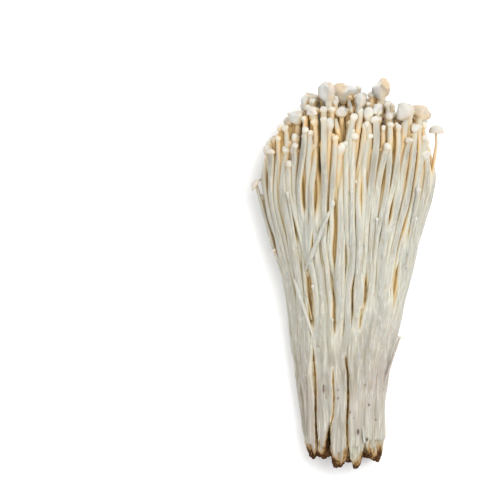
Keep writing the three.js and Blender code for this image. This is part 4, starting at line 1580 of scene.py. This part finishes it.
PALE = (0.405, 0.403, 0.364, 1)
CREAM = (0.367, 0.338, 0.262, 1)
GREYISH = (0.335, 0.34, 0.31, 1)
STREAK_PALE_AND_HIGHLIGHT = (0.66, 0.64, 0.54, 1)
STREAK_TAN = (0.28, 0.225, 0.135, 1)
CAP_WHITE = (0.52, 0.52, 0.50, 1)
CAP_TAN_AND_SHADE = (0.52, 0.36, 0.18, 1)
CROWN_CREAM = (0.228, 0.215, 0.174, 1)
GAP_SHADE_TAN = (0.49, 0.39, 0.215, 1)
GAP_SHADE_DEEP = (0.43, 0.275, 0.095, 1)
CROWN_GAP_SHADE = (0.62, 0.455, 0.25, 1)
FOOT_PALE = (0.355, 0.335, 0.29, 1)
FOOT_TAN_AND_SHADE = (0.20, 0.172, 0.125, 1)
FOOT_GREEN = (0.36, 0.355, 0.235, 1)
FOOT_PINK = (0.39, 0.33, 0.30, 1)
RIM_HIGHLIGHT_CREAM = (0.66, 0.63, 0.52, 1)
CLEFT_SHADE_TAN = (0.44, 0.335, 0.17, 1)
GOLD_SHADE = (0.30, 0.17, 0.05, 1)
STAIN_AND_SHADE_GOLD = (0.27, 0.15, 0.045, 1)
BROWN = (0.036, 0.011, 0.002, 1)
RED_BROWN_SHADE = (0.24, 0.042, 0.008, 1)
CRUMB = (0.085, 0.045, 0.018, 1)
SPECK_BROWN = (0.05, 0.018, 0.01, 1)
# Materials are in metres: where the colours of the crown and the foot set in and where they are full, how
# high the bumps are, and how deep light goes into the flesh.
CROWN_FROM_TO = (0.018, 0.058)
FOOT_FROM_TO = (-0.006, -0.045)
BUMP_HEIGHT = 0.00025
SOFT_SCALE = 0.0024
SOFT_RADIUS = (1.0, 0.55, 0.3)


def share_along(n, start, end):
    """How far along the bunch a place is between two heights, from 0 to 1."""
    parts = n.add("ShaderNodeSeparateXYZ", {0: n.place})
    return n.ramp(parts.outputs["Y"], start, end)


def foot_colour(n):
    """A greyer, streaked foot with painted shade in its grooves and a hint of green and pink."""
    streaks = n.noise(800, (1, 0.035, 1), 4)
    hue = n.noise(70, (1, 0.22, 1), 2)
    colour = n.over(FOOT_PALE, FOOT_TAN_AND_SHADE, streaks, 0.4, 0.68, 0.75)
    # Painted shade: tan in the grooves between grown-together stems.
    colour = n.over(colour, FOOT_TAN_AND_SHADE, n.attribute("groove"), 0.1, 0.8, 0.7)
    colour = n.over(colour, FOOT_GREEN, hue, 0.5, 0.62, 0.45)
    return n.over(colour, FOOT_PINK, hue, 0.5, 0.38, 0.4)


def flesh_colour(n):
    """Pale stems that differ a little, warmer in the crown, with whiter caps, warm painted shade in the gaps
    and under the caps, and painted highlights.
    """
    crown = share_along(n, *CROWN_FROM_TO)
    foot = share_along(n, *FOOT_FROM_TO)
    clouds = n.noise(60, (1, 0.35, 1))
    fine = n.noise(1250, (1, 0.03, 1), 2)
    colour = n.over(PALE, CREAM, n.noise(900, (1, 0.05, 1)), 0.35, 0.7, 0.8)
    colour = n.blend(n.scaled("tint", 0.45), colour, GREYISH)
    colour = n.over(colour, CREAM, clouds, 0.5, 0.72, 0.35)
    colour = n.blend(n.math("MULTIPLY", crown, 0.75), colour, CROWN_CREAM)
    colour = n.blend(n.math("MULTIPLY", foot, 0.9), colour, foot_colour(n))
    # Pale fibre streaks, made brighter to stand in for highlights: partly painted highlight.
    colour = n.over(colour, STREAK_PALE_AND_HIGHLIGHT, fine, 0.54, 0.70, 0.4)
    colour = n.over(colour, STREAK_TAN, fine, 0.44, 0.3, 0.5)
    colour = n.blend(n.scaled("cap", 0.85), colour, CAP_WHITE)
    # Tan caps, with painted shade in the tan under a shut cap.
    colour = n.blend(n.attribute("tan"), colour, CAP_TAN_AND_SHADE)
    crowd = n.math("ADD", n.attribute("crowd"), n.math("MULTIPLY", crown, 0.08))
    # Painted highlight: cream at the rims of the gaps between stems.
    colour = n.over(colour, RIM_HIGHLIGHT_CREAM, crowd, 0.22, 0.36, 0.4)
    # Painted shade: warm tan, then deep gold-brown, where the stems crowd round a gap.
    colour = n.over(colour, n.blend(crown, GAP_SHADE_TAN, CROWN_GAP_SHADE), crowd, 0.38, 0.7, 0.92)
    return n.over(colour, GAP_SHADE_DEEP, crowd, 0.72, 1.0, 0.75)


def stained(n, colour):
    """Painted shade in the grooves and clefts, with a painted highlight on the clefts' rims; gold and then
    brown towards the torn tip; and dark specks.
    """
    # Painted shade: gold in the grooves between grown-together stems.
    colour = n.over(colour, GOLD_SHADE, n.attribute("groove"), 0.35, 1.0, 0.45)
    cleft = n.attribute("cleft")
    # Painted highlight: cream along a cleft's rims.
    colour = n.over(colour, RIM_HIGHLIGHT_CREAM, cleft, 0.04, 0.2, 0.65)
    # Painted shade: tan, gold and red-brown, deeper into a cleft.
    colour = n.over(colour, CLEFT_SHADE_TAN, cleft, 0.24, 0.45, 0.9)
    colour = n.over(colour, GOLD_SHADE, cleft, 0.48, 0.72, 0.85)
    colour = n.over(colour, RED_BROWN_SHADE, cleft, 0.74, 1.0, 0.9)
    patches = n.noise(260, (1, 0.4, 1), 5, 0.62)
    uneven = n.math("MULTIPLY", n.math("SUBTRACT", patches, 0.5), 1.2)
    stain_and_shade = n.math("ADD", n.attribute("stain_and_shade"), uneven)
    torn = n.over(BROWN, CRUMB, n.noise(420, (1, 1, 1), 5, 0.7), 0.46, 0.62, 0.65)
    # Gold and then torn brown: a stain towards the torn tip, and painted shade on the foot's sides and
    # grooves.
    colour = n.over(colour, STAIN_AND_SHADE_GOLD, stain_and_shade, 0.28, 0.78, 0.9)
    colour = n.over(colour, torn, stain_and_shade, 0.68, 1.0, 0.97)
    return n.blend(n.scaled("speck", 0.85), colour, SPECK_BROWN)


def enoki_material(name, fine, coarse, rough, translucent, shine):
    """Flesh with fine and coarse bumps, whose coarse ones also make it more or less rough."""
    n = Nodes(name)
    lumps = n.noise(*coarse)
    height = n.math("ADD", n.noise(*fine), lumps)
    bump = n.add("ShaderNodeBump", {"Strength": 0.5, "Distance": BUMP_HEIGHT, "Height": height})
    return n.finish({
        "Base Color": stained(n, flesh_colour(n)), "Roughness": n.ramp(lumps, 0.3, 0.7, *rough),
        "Subsurface Weight": translucent, "Subsurface Radius": SOFT_RADIUS, "Subsurface Scale": SOFT_SCALE,
        "Specular IOR Level": shine, "Normal": bump.outputs["Normal"],
    })


def flesh_material():
    """Smooth, with fine fibres along the stems."""
    return enoki_material(
        "enoki_flesh", (1500, (1, 0.04, 1), 4), (700, (1, 0.5, 1), 3), (0.34, 0.55), 0.25, 0.25)


def root_material():
    """The same flesh, rougher, with lumps of growing medium in its torn end."""
    return enoki_material(
        "enoki_root", (1400, (1, 0.7, 1), 5, 0.7), (330, (1, 0.8, 1), 5, 0.65), (0.55, 0.9), 0.1, 0.05)


# ---- floor, light and camera ----


def floor_material():
    n = Nodes("floor_white")
    shade = n.ramp(n.noise(3, (1, 1, 1), 2), 0.3, 0.7)
    colour = n.blend(shade, (0.96, 0.96, 0.96, 1), (0.98, 0.98, 0.98, 1))
    return n.finish({"Base Color": colour, "Roughness": 0.9, "Specular IOR Level": 0.1})


def add_floor():
    size = 4.0
    mesh = bpy.data.meshes.new("floor")
    corners = [(-size, -size, 0), (size, -size, 0), (size, size, 0), (-size, size, 0)]
    mesh.from_pydata(corners, [], [(0, 1, 2, 3)])
    mesh.materials.append(floor_material())
    floor = placed("floor", mesh)


WORLD_STRENGTH = 1.08
KEY_POWER = 14.0
KEY_SIZE = 0.9
KEY_PLACE = (0.45, 0.4, 1.2)


def add_lighting():
    """Soft white light from all round, and a large square light from high on the right."""
    world = bpy.data.worlds.new("soft_white")
    world.use_nodes = True
    background = world.node_tree.nodes["Background"]
    background.inputs["Color"].default_value = (1, 1, 1, 1)
    background.inputs["Strength"].default_value = WORLD_STRENGTH
    bpy.context.scene.world = world
    light = bpy.data.lights.new("key", "AREA")
    light.shape = "SQUARE"
    light.size = KEY_SIZE
    light.energy = KEY_POWER
    holder = placed("key", light)
    holder.location = KEY_PLACE
    holder.rotation_euler = (-Vector(KEY_PLACE)).to_track_quat("-Z", "Y").to_euler()


VIEW_WIDTH = 210.0  # millimetres across the picture, at half the height of the bunch
VIEW_CENTRE = (-41.3, 10.3)
VIEW_HEIGHT = 22.0
LENS = 600.0
SENSOR = 36.0


def add_camera():
    """A long lens that looks straight down, with the caps at the top of the picture."""
    camera = bpy.data.cameras.new("camera")
    camera.lens = LENS
    camera.sensor_width = SENSOR
    camera.clip_end = 20
    height = VIEW_HEIGHT + VIEW_WIDTH * LENS / SENSOR
    holder = placed("camera", camera)
    holder.location = (VIEW_CENTRE[0] * MM, VIEW_CENTRE[1] * MM, height * MM)
    bpy.context.scene.camera = holder


# ---- the scene ----

STEM_SEED = 500
PIN_SEED = 900
PIN_TUFT = "upper_3"  # the pins and crossing stems go with its node


def belongs(piece, node):
    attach(piece, "root")
    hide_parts(node)


def deep_stems(tuft, tufts):
    """The stems at the bottom of the clefts between a tuft's free stems."""
    shape = Shape()
    for wide, _, darkness, path in CLEFTS:
        if tuft.layer > 0 and path[0][1] > OPEN_FROM and owner_of(path[len(path) // 2], tufts) is tuft:
            shape.add(*gap_stem(wide, darkness, path), tint=0.5)
    return shape


def loose_stems(tufts):
    """The pins and the crossing stems of the whole bunch."""
    shape = Shape()
    add_pins(shape, tufts, draws_from(PIN_SEED))
    add_crossing(shape, tufts)
    return shape


def dress(tuft, tufts, crowding, flesh, root):
    """Replaces a tuft and its root end by finer pieces."""

    def add(kind, shape, material, node):
        belongs(made_piece(kind, shape, material, crowding, tuft.layer), f"{node}_{tuft.name}")

    deep = deep_stems(tuft, tufts)
    border = tuft.root[0] - ROOT_BORDER
    add(f"stems_{tuft.name}", tuft.shape, flesh, "tuft")
    if deep.faces:
        add(f"deep_{tuft.name}", deep, flesh, "tuft")
    if tuft.name == PIN_TUFT:
        add("pins", loose_stems(tufts), flesh, "tuft")
    add(f"grown_{tuft.name}", side_of(tuft.skin, border, True), flesh, "tuft")
    add(f"foot_{tuft.name}", side_of(tuft.skin, border, False), root, "root_end")


def build():
    tufts = grow_bunch()
    for n, tuft in enumerate(tufts):
        draw = draws_from(n + STEM_SEED)
        tuft.shape = Shape()
        for m in tuft.mushrooms:
            add_mushroom(tuft.shape, m, draw)
        tuft.skin = grown_skin(tuft, n, tufts)
    crowding = Crowding(tufts)
    flesh = flesh_material()
    root = root_material()
    for tuft in tufts:
        dress(tuft, tufts, crowding, flesh, root)


build()
add_floor()
add_lighting()
add_camera()
scene = bpy.context.scene
scene.view_settings.view_transform = "Standard"
scene.view_settings.look = "None"
